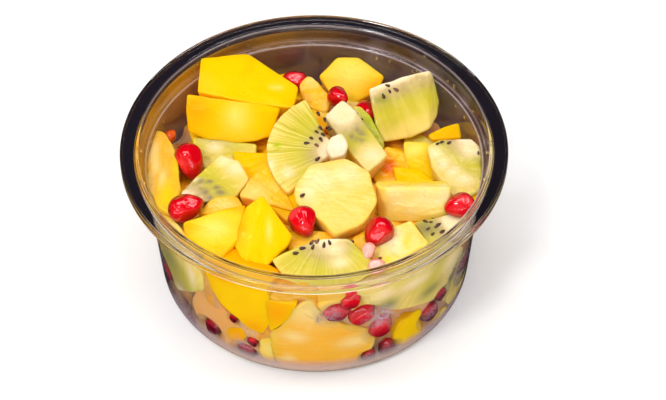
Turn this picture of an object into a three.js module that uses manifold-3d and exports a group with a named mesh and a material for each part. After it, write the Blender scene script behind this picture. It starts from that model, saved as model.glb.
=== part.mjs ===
// A fruit salad in a clear round deli tub: cut mango, kiwi, pineapple and peach with
// pomegranate arils, heaped in a thin-walled tub with a flanged rim.
// Millimetres, +Z up. The origin is the middle of the tub's base, the salad's low side is at +Y.

import * as THREE from "three";
import { mergeVertices } from "three/addons/utils/BufferGeometryUtils.js";
import Module from "manifold-3d";

const wasm = await Module();
wasm.setup();
const radians = THREE.MathUtils.degToRad;

// ---- Tub ----

const TUB_HEIGHT = 52;
const RIM_RADIUS = 58.5;
const MOUTH_RADIUS = 53.7;
const SKIRT_DROP = 2.4;
const LEDGE_DROP = 6.6;
const SHOULDER_RADIUS = 51.8;
const BASE_RADIUS = 49.1;
const BASE_CORNER = 4;
const WALL = 0.7;
const RIM_ROUND = 0.7;
const MOUTH_ROUND = 0.6;
const LEDGE_ROUND = 0.5;
const LEDGE_RISE = 0.2;
const WALL_LEAN = 0.3;
const TUB_SIDES = 56;

// ---- Salad ----

const GAP = 0.3;
const SALAD_SIDES = 36;
const KNIFE_EDGE = 1.1;
const NARROWING = 0.1;
const ARC_STEP = 17;
const ARIL_TAPER = 0.24;
const ARIL_BELLY = 0.08;
const CORE_INSET = 3;
const CORE_EDGE_Z = 32;
const CORE_CROWN_Z = 36;
const CORE_CROWN_SHARE = 0.6;
const CORE_SLOPE = 0.09;
const CORE_STEP = 1;
const JUICE_Z = 5;
const HEADROOM = 10;

const LOOKS = {
  tub: { color: 0xdfe3e6, roughness: 0.05, metalness: 0, transparent: true, opacity: 0.35 },
  heap: { color: 0xe8b765, roughness: 0.35, metalness: 0 },
  mango: { color: 0xffc40a, roughness: 0.25, metalness: 0 },
  peach: { color: 0xffa92e, roughness: 0.3, metalness: 0 },
  pineapple: { color: 0xffe07a, roughness: 0.3, metalness: 0 },
  kiwi: { color: 0xb5bd45, roughness: 0.3, metalness: 0 },
  aril: { color: 0xb8081c, roughness: 0.12, metalness: 0 },
};

// The cut pieces that lie on top, from the uppermost down. at is the middle of the upper face,
// roll leans that face towards -Y and head then turns it round +Z, face is its outline going
// round, depth the thickness below it.
const CUT_PIECES = [
  { name: "mango_slab_back", fruit: "mango", at: [-22, 29, 49], roll: 10, depth: 8,
    face: [[-14.5, 10], [0.5, 12], [17, -1.5], [15.5, -10], [2.5, -8], [-15, -3.5]] },
  { name: "kiwi_core_lump", fruit: "kiwi", at: [7, 1, 49], roll: 12, depth: 5,
    face: [[-3.5, -0.5], [-2, 3.5], [1.5, 5], [3.5, 0.5], [2, -3.5], [-2, -4.5]] },
  { name: "pineapple_chunk_centre", fruit: "pineapple", at: [7, -18.5, 47], roll: 15, depth: 14,
    face: [[-12, 5.5], [-8, 11], [2.5, 13.5], [9.5, 9], [12, -1], [8.5, -8.5], [-0.5, -13], [-7.5, -5.5],
      [-12, -2.5], [-13, 1.5]] },
  { name: "kiwi_slice_centre", fruit: "kiwi", at: [-3.5, 4, 46], roll: 12, depth: 13,
    face: sector([9.8, -1.5], 21, 116, 228) },
  { name: "kiwi_strip_centre", fruit: "kiwi", at: [13, 9, 45], roll: 10, depth: 9,
    face: [[-10, 8], [-4.5, 14.5], [0, 10], [9.5, -7], [3.5, -13.5], [-2.5, -5.5]] },
  { name: "kiwi_block_back", fruit: "kiwi", at: [28.4, 23.6, 44], roll: 40, depth: 14,
    face: [[-11.5, 5.5], [-1.5, 9], [8, 11.5], [11, 2], [10.5, -2], [8, -7], [2, -10], [-7, -11.5],
      [-10, -3]] },
  { name: "mango_gem_front", fruit: "mango", at: [-15, -32, 44], roll: 30, depth: 14,
    face: [[0, 13], [9, 0.5], [7.5, -2.5], [0.5, -9.5], [-6, -7], [-8.5, -1.5], [-5, 9.5]] },
  { name: "mango_block_left", fruit: "mango", at: [-29.5, -29.5, 44], roll: 15, depth: 12,
    face: [[-9, 3], [2.5, 7.5], [9.5, 9], [7.5, -3], [3, -9], [-8, -1.5]] },
  { name: "pineapple_bar_right", fruit: "pineapple", at: [29.5, -12, 44], roll: -15, depth: 10,
    face: [[-11.5, 3], [10.5, 3], [12, -3], [-8.5, -3.5], [-11, -1]] },
  { name: "kiwi_half_front", fruit: "kiwi", at: [2.5, -39.5, 42], roll: 42, depth: 12,
    face: [...sector([1, 9], 18, 208, 326).slice(1), [8, 6.5], [-0.5, 6.5], [-8.5, 3.5]] },
  { name: "mango_wedge_back", fruit: "mango", at: [-24.5, 18, 44.5], roll: 45, depth: 15,
    face: [[-15.4, 7.3], [-1.6, 5.2], [8, 4.2], [14, 3], [10.8, -6], [6.8, -7.3], [0.1, -8.3],
      [-10.4, -6.8], [-15.1, -4.5], [-15.9, 2.3]] },
  { name: "mango_block_back", fruit: "mango", at: [11.5, 42, 38], roll: 30, depth: 11,
    face: [[-10.5, 1.5], [-4.5, 8], [2.5, 8], [11, 1.5], [9, -3.5], [0.5, -8], [-6, -5.5]] },
  { name: "pineapple_wedge_front", fruit: "pineapple", at: [24.5, -32.5, 41], roll: 15, depth: 10,
    face: [[-2, 6.5], [4.5, 8.5], [9.5, 1], [0.5, -5], [-8.5, -9], [-7.5, -1.5]] },
  { name: "kiwi_block_right", fruit: "kiwi", at: [43.5, 0.5, 42], roll: 15, depth: 13,
    face: [[-9, 6.5], [-4.8, 8.5], [5.1, 8.8], [9, 3.5], [9.5, -3.2], [7.1, -9.4], [3.7, -11.5],
      [-1.8, -11.5], [-7.5, -2]] },
  { name: "kiwi_wedge_right", fruit: "kiwi", at: [38, -23.5, 39], roll: 10, depth: 10,
    face: [[-8, 2], [-0.5, 4], [5, 5.5], [8.5, 2], [2, -4], [-4, -6.5]] },
  { name: "mango_piece_right", fruit: "mango", at: [32.5, 5.5, 39], roll: 25, depth: 11,
    face: [[-5, 5.5], [3, 5.5], [5, -0.5], [9, -10], [0, -6.5], [-4.5, -2]] },
  { name: "kiwi_block_left", fruit: "kiwi", at: [-30, -6.5, 42.5], roll: 10, depth: 11,
    face: [[-10.5, -5.5], [-4, 3], [1.5, 9], [7, 6.5], [10.5, 0], [6.5, -6.5], [-2.5, -8.5], [-8, -8.5]] },
  { name: "pineapple_strip_left", fruit: "pineapple", at: [-46, -4, 42.5], roll: 0, depth: 13,
    face: [[-5, 19], [-0.5, 17.5], [3.5, 9], [6, -6.5], [3.5, -18], [-1, -13.5], [-4, -6.5], [-6, 5]] },
  { name: "peach_wedge_centre", fruit: "peach", at: [-15, -9.5, 41.5], roll: 12, depth: 11,
    face: [[-8, -3], [-4.5, 3.5], [0.5, 10], [5, 3], [9.5, -8.5], [0, -5.5]] },
  { name: "kiwi_piece_left", fruit: "kiwi", at: [-27.5, 9, 38], roll: 20, depth: 10,
    face: [[-11, 5.5], [9.5, 3], [9, -7], [4.5, -5.5], [-1, -3.5], [-6.5, -6], [-10, 0]] },
  { name: "peach_tip_left", fruit: "peach", at: [-29, -17, 42], roll: 15, depth: 8,
    face: [[-6, -3], [-1.5, 2.5], [6, 3.5], [8, -1], [-0.5, -3.5]] },
  { name: "kiwi_piece_back", fruit: "kiwi", at: [18, 17, 41], roll: 25, depth: 9,
    face: [[-6.5, 7.5], [-4, 7.5], [-1.3, 4.9], [1.2, 0.9], [4, -6], [2, -9.5]] },
  { name: "peach_wedge_back", fruit: "peach", at: [-0.5, 33.5, 40], roll: 20, depth: 10,
    face: [[-5, 3.5], [-1.5, 7], [2, 3.5], [6, -1.5], [4, -7], [-2.5, -4.5]] },
  { name: "peach_cube_right", fruit: "peach", at: [24, 3.5, 38], roll: 25, depth: 9,
    face: [[-2, 6.5], [4, 4.5], [6.5, -6], [-5.5, -6], [-6.5, -1]] },
  { name: "mango_tip_right", fruit: "mango", at: [41, 19, 37], roll: 15, depth: 8,
    face: [[-5.5, -0.8], [0.2, 2.3], [4.7, 3.8], [5.3, -2], [-4, -3]] },
  { name: "peach_chip_left", fruit: "peach", at: [-39.5, -27.5, 40.5], roll: 10, depth: 8,
    face: [[-6.5, 7.5], [-2, 5.5], [3.5, -2], [6, -6], [-0.5, -3]] },
  { name: "mango_wedge_front", fruit: "mango", at: [-24, -45, 30], roll: 90, head: -28, depth: 11,
    face: [[-11, 12.5], [-8.2, 7.4], [-7.2, 1.7], [-4.1, -3.9], [5.1, -10.8], [9.2, -11.6],
      [12.1, -4.3], [12.7, 2], [11.6, 10.5]] },
];

// The cut pieces of the layer below, which show between those on top and are one with the heap.
const LOWER_PIECES = [
  { fruit: "mango", at: [-9.5, -13, 40], roll: 12, depth: 8,
    face: [[-7.5, 10], [1, 8], [6.5, 1.5], [6.5, -7.5], [1, -7.5], [-6, 0]] },
  { fruit: "peach", at: [-0.5, -30.5, 40], roll: 15, depth: 8,
    face: [[-8.5, 2.5], [-3.5, 5], [5.5, 3.5], [8, -1], [2, -4.5], [-6.5, -3.5]] },
  { fruit: "peach", at: [17, -33, 39.5], roll: 15, depth: 8,
    face: [[-6, 4.5], [-1, 7.5], [6, 4.5], [6, -4], [0, -7], [-4.5, -3.5]] },
  { fruit: "mango", at: [43.5, -9, 38], roll: 15, depth: 9,
    face: [[-8, 5], [4, 3.5], [8.5, 0.5], [5.5, -4], [-2.5, -3.5], [-6.5, -0.5]] },
  { fruit: "mango", at: [30.5, -2.5, 37.5], roll: 15, depth: 8,
    face: [[-6.5, 5], [2.5, 4], [8, -2], [5, -5], [-4.5, -3.5]] },
  { fruit: "pineapple", at: [-38, -13.5, 38], roll: 15, depth: 8,
    face: [[-4, 6.5], [2.5, 3], [6.5, -1.5], [1, -5], [-4.5, -2.5]] },
  { fruit: "mango", at: [-18.5, 3, 38], roll: 15, depth: 8,
    face: [[-7, 5.5], [4, 5], [7, -3.5], [-0.5, -6.5], [-5.5, -2]] },
  { fruit: "peach", at: [0.5, 25.5, 37], roll: 15, depth: 8,
    face: [[-6.5, 5], [4.5, 2], [7.5, -3], [0.5, -5], [-5, -1.5]] },
  { fruit: "mango", at: [-8.5, 44, 33.5], roll: 10, depth: 9,
    face: [[-10.5, 4], [3, 6.5], [10, 1.5], [8.5, -5.5], [-3, -5.5], [-9, -2.5]] },
  { fruit: "pineapple", at: [13, 32, 34], roll: 15, depth: 8,
    face: [[-7.5, 4.5], [5, 3], [7.5, -4.5], [-2, -4.5], [-6.5, -1.5]] },
  { fruit: "mango", at: [-29, 16, 34], roll: 20, depth: 8,
    face: [[-11.5, 7], [4.5, 3], [11.5, 3], [11.5, -5], [-2, -5], [-9.5, 0]] },
  { fruit: "kiwi", at: [32, 17.5, 35], roll: 20, depth: 8,
    face: [[-3.5, 4], [6.5, 0], [3.5, -3.5], [-4, -3.5]] },
  { fruit: "pineapple", at: [39, -15.5, 37], roll: 15, depth: 8,
    face: [[-2.5, 5.5], [5.5, 1.5], [5.5, -3.5], [-2.5, -4], [-6, -0.5]] },
];

// Loose arils on top: at is the middle, point the way the narrow end lies (degrees round Z from
// +X, then up), size the length and the width.
const TOP_ARILS = [
  { name: "aril_front", at: [19, -29, 43], point: [225, -20], size: [9.6, 8.2] },
  { name: "aril_centre", at: [-3, -25, 43], point: [300, -20], size: [9.6, 8.6] },
  { name: "aril_left_low", at: [-38, -19.5, 43.5], point: [20, 10], size: [10.8, 8.2] },
  { name: "aril_left_high", at: [-38.5, 3, 40], point: [290, -35], size: [11.6, 8.8] },
  { name: "aril_right", at: [43.5, -17, 41.5], point: [200, 0], size: [9.4, 7.6] },
  { name: "aril_back", at: [7.5, 30.5, 41.5], point: [310, 20], size: [7.6, 6.4] },
  { name: "aril_back_wall", at: [-6.7, 43.5, 37], point: [160, 0], size: [8.2, 6] },
  { name: "aril_behind_kiwi", at: [16, 28, 37], point: [100, 10], size: [9, 7.4] },
  { name: "aril_left_sliver", at: [-45.4, 15, 39], point: [60, 20], size: [5, 4] },
  { name: "aril_pale_front", at: [16, -36.5, 43], point: [250, -30], size: [5.4, 4] },
  { name: "aril_pale_low", at: [18.4, -41, 42], point: [20, 0], size: [5.2, 4] },
];

// The cut pieces that lie against the front of the wall. angle goes round from -Y towards +X,
// z is the height of the middle and face the outline, with its first number along the wall.
const FRONT_WALL_PIECES = [
  { angle: -58, z: 26, face: [[-15, -4], [-8, -15], [6, -14], [14, -2], [13, 12], [-13, 12]] },
  { angle: -37, z: 15, face: [[-4.8, 12], [-2.3, 12], [6.3, 0.6], [7.6, -9.9], [2, -13], [-1, -8],
    [-9, -3.5], [-9.5, 2]] },
  { angle: 2, z: 20, face: [[-17, -1], [-15, -13], [17, -12], [18, -3], [7, 11], [-3, 15], [-12, 9]] },
  { angle: 36, z: 29, face: [[-17, 2], [-14, -5], [-4, -9], [8, -10], [16, -2], [16, 7], [-8, 7]] },
  { angle: 37, z: 12, face: [[-5, -4], [0, -9], [5, -5], [6, 4], [3, 8], [-4, 6]] },
  { angle: 8, z: 33, face: [[-5, -2], [5, -3], [6, 1], [-4, 2]] },
  { angle: 67, z: 12, face: [[-6, -7], [5, -8], [8, 3], [0, 8], [-7, 4]] },
];

// The loose arils against the wall: the angle and height as above, then the size.
const WALL_ARILS = [
  [-52, 5, 0.7], [-40, 9, 0.8], [-30, 21, 0.5], [-26, 7.5, 0.9], [-21, 12.5, 0.5], [8.4, 30.5, 1],
  [13.5, 34.5, 0.9], [17, 27, 1], [24, 18.5, 1], [27.5, 7, 0.7], [20, 5.5, 0.6], [45.5, 12.5, 1],
  [51.5, 17, 0.6], [70, 17, 0.9], [81, 8, 1], [112, 18, 1], [146, 7, 1], [183, 15, 1], [221, 8, 1],
  [252, 20, 1], [275, 7, 1], [292, 15, 1],
];
const ARIL_SIZE = [9.5, 8];

// The wall from 58 degrees on, round the back: rows of pieces with drawn sizes.
const BACK_WALL_ROWS = [
  { z: 10, from: 88, to: 268, count: 8 },
  { z: 23, from: 74, to: 282, count: 9 },
];
const BACK_PIECE_WIDTH = 17;
const BACK_PIECE_HEIGHT = 13;
const BACK_PIECE_SPREAD = 3;
const BACK_SIDE_SPREAD = 0.3;
const BACK_ANGLE_SPREAD = 2;
const BACK_Z_SPREAD = 1.5;
const BACK_TURN_SPREAD = 25;
const WALL_PIECE_DEPTH = 9;
const WALL_PIECE_PRESS = 0.5;
const ARIL_PRESS = 0.8;
const ARIL_TURN = 3;
const SEED = 11;

/** Outline of a wedge of a round slice: its point at the core, then the arc of the peeled side. */
function sector(core, radius, from, to) {
  const steps = Math.ceil((to - from) / ARC_STEP);
  const outline = [core];
  for (let i = 0; i <= steps; i += 1) {
    const angle = radians(from + ((to - from) * i) / steps);
    outline.push([core[0] + radius * Math.cos(angle), core[1] + radius * Math.sin(angle)]);
  }
  return outline;
}

/** Repeatable random numbers from -1 to 1. */
function drawing(seed) {
  let state = seed;
  return () => {
    state = (state * 48271) % 2147483647;
    return (state / 2147483647) * 2 - 1;
  };
}

/** Points of an arc in the profile's plane, from one angle to another. */
function arc(centreR, centreZ, radius, from, to, steps) {
  return Array.from({ length: steps + 1 }, (_, i) => {
    const angle = radians(from + ((to - from) * i) / steps);
    return [centreR + radius * Math.cos(angle), centreZ + radius * Math.sin(angle)];
  });
}

/** Turns a profile of [radius, height] points round +Z. */
function turned(profile, sides) {
  const points = profile.map(([r, z]) => new THREE.Vector2(r, z));
  return new THREE.LatheGeometry(points, sides).rotateX(Math.PI / 2);
}

/** The closed solid of a geometry, with its shared corners merged and its faces pointing out. */
function solidOf(geometry) {
  const bare = geometry.clone();
  bare.deleteAttribute("normal");
  bare.deleteAttribute("uv");
  const merged = mergeVertices(bare, 1e-4);
  const corners = merged.getIndex().array;
  const triangles = [];
  for (let i = 0; i < corners.length; i += 3) {
    const [a, b, c] = corners.slice(i, i + 3);
    if (a !== b && b !== c && c !== a) triangles.push(a, b, c);
  }
  const vertProperties = new Float32Array(merged.getAttribute("position").array);
  const triVerts = new Uint32Array(triangles);
  return new wasm.Manifold(new wasm.Mesh({ numProp: 3, vertProperties, triVerts }));
}

function geometryOf(solid) {
  const { vertProperties, triVerts } = solid.getMesh();
  const geometry = new THREE.BufferGeometry();
  geometry.setAttribute("position", new THREE.BufferAttribute(vertProperties, 3));
  geometry.setIndex(new THREE.BufferAttribute(triVerts, 1));
  return geometry;
}

/** The largest of a solid's separate bodies, so that no scrap of a cut stays. */
function largest(solid) {
  return solid.decompose().reduce((best, body) => (body.volume() > best.volume() ? body : best));
}

/** Inner side of the tub, from the middle of its floor to the mouth, set in by a clearance. */
function innerProfile(clearance) {
  const floor = WALL + clearance;
  const corner = BASE_CORNER - WALL - clearance;
  const shoulderZ = TUB_HEIGHT - LEDGE_DROP - MOUTH_ROUND;
  const shoulder = SHOULDER_RADIUS - WALL - clearance;
  const mouth = MOUTH_RADIUS - WALL_LEAN - clearance;
  const ledgeZ = shoulderZ + LEDGE_ROUND + clearance;
  return [
    [0, floor],
    ...arc(BASE_RADIUS - BASE_CORNER, BASE_CORNER, corner, -90, -4, 4),
    [shoulder, shoulderZ],
    [shoulder + LEDGE_ROUND, ledgeZ],
    [mouth - LEDGE_ROUND, ledgeZ + LEDGE_RISE],
    [mouth, ledgeZ + LEDGE_RISE + LEDGE_ROUND],
  ];
}

/** The tub: floor, round corner, tapering wall, ledge for the lid, upper wall and turned-down rim. */
function tubGeometry() {
  const ledgeZ = TUB_HEIGHT - LEDGE_DROP - WALL;
  const outside = [
    [0, 0],
    ...arc(BASE_RADIUS - BASE_CORNER, BASE_CORNER, BASE_CORNER, -90, -4, 4),
    [SHOULDER_RADIUS, ledgeZ - LEDGE_ROUND],
    [SHOULDER_RADIUS + WALL_LEAN, ledgeZ],
    [MOUTH_RADIUS, ledgeZ + LEDGE_RISE],
    [MOUTH_RADIUS + WALL - WALL_LEAN, ledgeZ + LEDGE_RISE + LEDGE_ROUND],
    [MOUTH_RADIUS + WALL, TUB_HEIGHT - WALL],
    [RIM_RADIUS - WALL - WALL_LEAN, TUB_HEIGHT - WALL],
    [RIM_RADIUS - WALL, TUB_HEIGHT - SKIRT_DROP],
    [RIM_RADIUS, TUB_HEIGHT - SKIRT_DROP],
    ...arc(RIM_RADIUS - RIM_ROUND, TUB_HEIGHT - RIM_ROUND, RIM_ROUND, 0, 90, 2),
    ...arc(MOUTH_RADIUS + MOUTH_ROUND, TUB_HEIGHT - MOUTH_ROUND, MOUTH_ROUND, 90, 180, 2),
  ];
  return turned([...outside, ...innerProfile(0).reverse()], TUB_SIDES);
}

/** The space inside the tub that the salad may fill, kept off the plastic. */
function cavitySolid() {
  const wall = innerProfile(GAP);
  const mouth = wall.at(-1)[0];
  const above = TUB_HEIGHT + HEADROOM;
  return solidOf(turned([...wall, [mouth, above], [0, above]], SALAD_SIDES));
}

/** A piece cut by a knife: an outline drawn down by its depth, narrowing below, edges broken. */
function cutGeometry(face, depth, grow = 0) {
  const shape = new THREE.Shape(face.map(([x, y]) => new THREE.Vector2(x, y)));
  const geometry = new THREE.ExtrudeGeometry(shape, {
    depth: depth - 2 * KNIFE_EDGE,
    bevelThickness: KNIFE_EDGE + grow,
    bevelSize: KNIFE_EDGE,
    bevelOffset: grow - KNIFE_EDGE,
    bevelSegments: 1,
  });
  geometry.translate(0, 0, KNIFE_EDGE - depth);
  const position = geometry.getAttribute("position");
  for (let i = 0; i < position.count; i += 1) {
    const narrow = 1 + (NARROWING * Math.min(position.getZ(i), 0)) / depth;
    position.setX(i, position.getX(i) * narrow);
    position.setY(i, position.getY(i) * narrow);
  }
  return geometry;
}

/** A seed in its juicy red coat: a soft-sided drop, narrow at one end. */
function arilGeometry([length, width], grow = 0, ball = new THREE.IcosahedronGeometry(1, 1)) {
  const geometry = ball.clone();
  const position = geometry.getAttribute("position");
  for (let i = 0; i < position.count; i += 1) {
    const along = position.getX(i);
    const share = 1 - ARIL_TAPER * along - ARIL_BELLY * along * along;
    const girth = (width / 2) * share + grow;
    position.setXYZ(i, (length / 2 + grow) * along, girth * position.getY(i), girth * position.getZ(i));
  }
  return geometry;
}

/** Where a piece on top lies: its place, the lean of its upper face and its turn round +Z. */
function leaning({ at, roll, head = 0 }) {
  const turn = new THREE.Euler(radians(roll), 0, radians(head), "ZYX");
  return new THREE.Matrix4().makeRotationFromEuler(turn).setPosition(...at);
}

/** Where an aril lies, with its narrow end along +X turned up and then round. */
function pointing({ at, point }) {
  const turn = new THREE.Euler(0, -radians(point[1]), radians(point[0]), "ZYX");
  return new THREE.Matrix4().makeRotationFromEuler(turn).setPosition(...at);
}

/** Where a piece against the wall lies: flat to it at an angle and a height, turned in its plane. */
function againstWall(angle, z, inset, turn = 0) {
  const share = (z - BASE_CORNER) / (TUB_HEIGHT - LEDGE_DROP - BASE_CORNER);
  const radius = BASE_RADIUS + (SHOULDER_RADIUS - BASE_RADIUS) * share - WALL - inset;
  const out = new THREE.Vector3(Math.sin(radians(angle)), -Math.cos(radians(angle)), 0);
  const along = new THREE.Vector3(-out.y, out.x, 0);
  const flat = new THREE.Matrix4().makeBasis(along, new THREE.Vector3(0, 0, 1), out);
  flat.multiply(new THREE.Matrix4().makeRotationZ(radians(turn)));
  return flat.setPosition(out.x * radius, out.y * radius, z);
}

/** The pieces on the wall's hidden side: four- to six-sided, of uneven size, in rows. */
function backWallPieces() {
  const draw = drawing(SEED);
  const pieces = [];
  for (const { z, from, to, count } of BACK_WALL_ROWS) {
    for (let i = 0; i < count; i += 1) {
      const sides = 5 + Math.round(draw());
      const wide = BACK_PIECE_WIDTH + BACK_PIECE_SPREAD * draw();
      const high = BACK_PIECE_HEIGHT + BACK_PIECE_SPREAD * draw();
      const face = Array.from({ length: sides }, (_, side) => {
        const angle = ((side + BACK_SIDE_SPREAD * draw()) / sides) * 2 * Math.PI;
        return [(wide / 2) * Math.cos(angle), (high / 2) * Math.sin(angle)];
      });
      const angle = from + ((to - from) * i) / (count - 1) + BACK_ANGLE_SPREAD * draw();
      pieces.push({ angle, z: z + BACK_Z_SPREAD * draw(), turn: BACK_TURN_SPREAD * draw(), face });
    }
  }
  return pieces;
}

/** The bulk under and round the pieces: a sloping mound of fruit standing in a pool of juice. */
function coreSolid() {
  const wall = innerProfile(GAP).slice(0, 6);
  const edge = SHOULDER_RADIUS - WALL - CORE_INSET;
  const foot = BASE_RADIUS - WALL - CORE_INSET;
  const mound = turned([
    ...wall,
    [wall.at(-1)[0] + GAP / 3, JUICE_Z],
    [foot, JUICE_Z + CORE_STEP],
    [edge, CORE_EDGE_Z],
    [edge * CORE_CROWN_SHARE, CORE_CROWN_Z - CORE_STEP],
    [0, CORE_CROWN_Z],
  ], SALAD_SIDES);
  const position = mound.getAttribute("position");
  for (let i = 0; i < position.count; i += 1) {
    const height = position.getZ(i);
    if (height > CORE_EDGE_Z - CORE_STEP) position.setZ(i, height - CORE_SLOPE * position.getY(i));
  }
  return solidOf(mound);
}

/** The heap: the core with the pieces that show round it fused on, less what lies on top. */
function heapSolid(cavity, onTop) {
  let heap = coreSolid();
  for (const piece of LOWER_PIECES) {
    const body = cutGeometry(piece.face, piece.depth).applyMatrix4(leaning(piece));
    heap = heap.add(solidOf(body));
  }
  for (const { angle, z, turn, face } of [...FRONT_WALL_PIECES, ...backWallPieces()]) {
    const place = againstWall(angle, z, -WALL_PIECE_PRESS, turn);
    heap = heap.add(solidOf(cutGeometry(face, WALL_PIECE_DEPTH).applyMatrix4(place)));
  }
  for (const [angle, z, share] of WALL_ARILS) {
    const size = ARIL_SIZE.map((value) => value * share);
    const place = againstWall(angle, z, size[1] / 2 - ARIL_PRESS, angle * ARIL_TURN);
    const aril = arilGeometry(size, 0, new THREE.OctahedronGeometry(1, 1));
    heap = heap.add(solidOf(aril.applyMatrix4(place)));
  }
  heap = heap.intersect(cavity);
  for (const { grown } of onTop) heap = heap.subtract(grown);
  return largest(heap);
}

/** Places each piece on top and trims it by those above it, so that all lie a gap apart. */
function piecesOnTop(cavity) {
  const placed = [
    ...TOP_ARILS.map((aril) => ({
      name: aril.name,
      fruit: "aril",
      place: pointing(aril),
      form: (grow) => arilGeometry(aril.size, grow),
    })),
    ...CUT_PIECES.map((piece) => ({
      name: piece.name,
      fruit: piece.fruit,
      place: leaning(piece),
      form: (grow) => cutGeometry(piece.face, piece.depth, grow),
    })),
  ];
  const laid = [];
  for (const piece of placed) {
    let solid = solidOf(piece.form(0).applyMatrix4(piece.place)).intersect(cavity);
    for (const { grown } of laid) solid = solid.subtract(grown);
    const grown = solidOf(piece.form(GAP).applyMatrix4(piece.place));
    laid.push({ ...piece, solid: largest(solid), grown });
  }
  return laid;
}

/** A named mesh whose geometry is kept in its own frame and set in place by position and turn. */
function meshOf(name, look, geometry, place = new THREE.Matrix4()) {
  const local = geometry.applyMatrix4(place.clone().invert());
  const mesh = new THREE.Mesh(local, new THREE.MeshStandardMaterial(LOOKS[look]));
  mesh.name = name;
  mesh.applyMatrix4(place);
  return mesh;
}

const fruitSalad = new THREE.Group();
fruitSalad.add(meshOf("tub", "tub", tubGeometry()));

const cavity = cavitySolid();
const onTop = piecesOnTop(cavity);
fruitSalad.add(meshOf("heap", "heap", geometryOf(heapSolid(cavity, onTop))));

for (const { name, fruit, solid, place } of onTop) {
  fruitSalad.add(meshOf(name, fruit, geometryOf(solid), place));
}

export default fruitSalad;
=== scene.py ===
import bpy
import numpy as np
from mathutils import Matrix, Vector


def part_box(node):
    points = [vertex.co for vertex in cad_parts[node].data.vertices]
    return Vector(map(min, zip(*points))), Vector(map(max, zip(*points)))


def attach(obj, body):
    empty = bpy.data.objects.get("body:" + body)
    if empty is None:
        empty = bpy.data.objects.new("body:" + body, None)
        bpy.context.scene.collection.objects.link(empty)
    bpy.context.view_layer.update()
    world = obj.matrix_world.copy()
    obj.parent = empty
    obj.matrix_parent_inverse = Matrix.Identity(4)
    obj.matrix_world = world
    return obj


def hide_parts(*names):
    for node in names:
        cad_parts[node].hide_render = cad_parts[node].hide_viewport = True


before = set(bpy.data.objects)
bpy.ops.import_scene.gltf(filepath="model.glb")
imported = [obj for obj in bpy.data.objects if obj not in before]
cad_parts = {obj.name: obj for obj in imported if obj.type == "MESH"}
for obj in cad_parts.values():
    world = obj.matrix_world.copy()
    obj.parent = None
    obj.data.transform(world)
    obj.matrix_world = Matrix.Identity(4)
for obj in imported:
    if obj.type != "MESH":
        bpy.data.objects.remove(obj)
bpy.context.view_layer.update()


# ---- The tub ----
# A clear round deli tub, formed from one thin sheet of plastic: a flat floor with a round corner, a
# wall that widens a little upwards, a ledge for the lid, and a flat rim turned down at its edge.

MM = 0.001
_, tub_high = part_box("tub")
RIM_RADIUS = tub_high.x / MM
TUB_HEIGHT = tub_high.z / MM
MOUTH_RADIUS = RIM_RADIUS - 5.7
SHOULDER_RADIUS = RIM_RADIUS - 6.7
BASE_RADIUS = RIM_RADIUS - 9.4
LEDGE_Z = TUB_HEIGHT - 6.6
BASE_CORNER = 4.0
WALL = 0.7
SKIRT_DROP = 2.4
SHOULDER = (SHOULDER_RADIUS - WALL, LEDGE_Z - 0.1)
LEDGE = (MOUTH_RADIUS - 0.3, LEDGE_Z + 0.3)
FAN_RADIUS = 1.0
TUB_SIDES = 192
CORNER_SHARE = 0.45
CORNER_STEPS = dict(bend=7, run=4)


def softened(corners, set_back, closed=True, bend=4, run=7):
    """A line through corners, each replaced by a quadratic curve in bend steps. The curve starts and ends
    set_back along the corner's two sides, or CORNER_SHARE of a side if less. Straights have run steps."""
    reach = np.full(len(corners), set_back, float)[:, None]
    if not closed:
        reach[[0, -1]] = 0
    enter, leave = (
        corners + side * np.minimum(reach / np.linalg.norm(side, axis=1, keepdims=True), CORNER_SHARE)
        for side in (np.roll(corners, 1, 0) - corners, np.roll(corners, -1, 0) - corners)
    )
    t = np.linspace(0, 1, bend + 1)[:, None]
    curve = (1 - t) ** 2 * enter[:, None] + 2 * t * (1 - t) * corners[:, None] + t**2 * leave[:, None]
    s = np.linspace(0, 1, run + 1)[1:-1, None]
    straight = (1 - s) * leave[:, None] + s * np.roll(enter, -1, 0)[:, None]
    line = np.concatenate([curve, straight], 1).reshape(-1, corners.shape[1])
    if not closed:
        line = line[: 1 - run]
    steps = np.linalg.norm(line - np.roll(line, 1, 0), axis=1)
    return line[steps > 1e-4]


def turned(profile, sides):
    """Grid of a profile of (radius, height) rows carried round +Z in equal steps."""
    angle = np.arange(sides) * 2 * np.pi / sides
    radius, height = profile[:, :1], profile[:, 1:]
    return np.stack([radius * np.cos(angle), radius * np.sin(angle), height + 0 * angle], -1)


def skin(grid, looped=False, **traits):
    """A closed skin over grid[row, around]: quads between neighbouring rows, wrapping round, and a fan of
    triangles from each end row onto its middle, or, where the rows are looped, quads from the last row to
    the first. A trait has a value for each point of the grid."""
    rows, around = grid.shape[:2]
    index = np.arange(rows * around).reshape(rows, around)
    here, there = (index, np.roll(index, -1, 0)) if looped else (index[:-1], index[1:])
    quads = np.stack([here, there, np.roll(there, -1, 1), np.roll(here, -1, 1)], -1).reshape(-1, 4)
    first, last = np.full(around, rows * around), np.full(around, rows * around + 1)
    fans = np.vstack([
        np.stack([first, index[0], np.roll(index[0], -1)], -1),
        np.stack([last, np.roll(index[-1], -1), index[-1]], -1),
    ])

    def with_ends(values):
        flat = values.reshape(rows * around, -1)
        return flat if looped else np.vstack([flat, values[0].mean(0), values[-1].mean(0)])

    return {
        "points": with_ends(grid),
        "quads": quads,
        "fans": fans[:0] if looped else fans,
        "traits": {name: with_ends(values) for name, values in traits.items()},
    }


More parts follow.
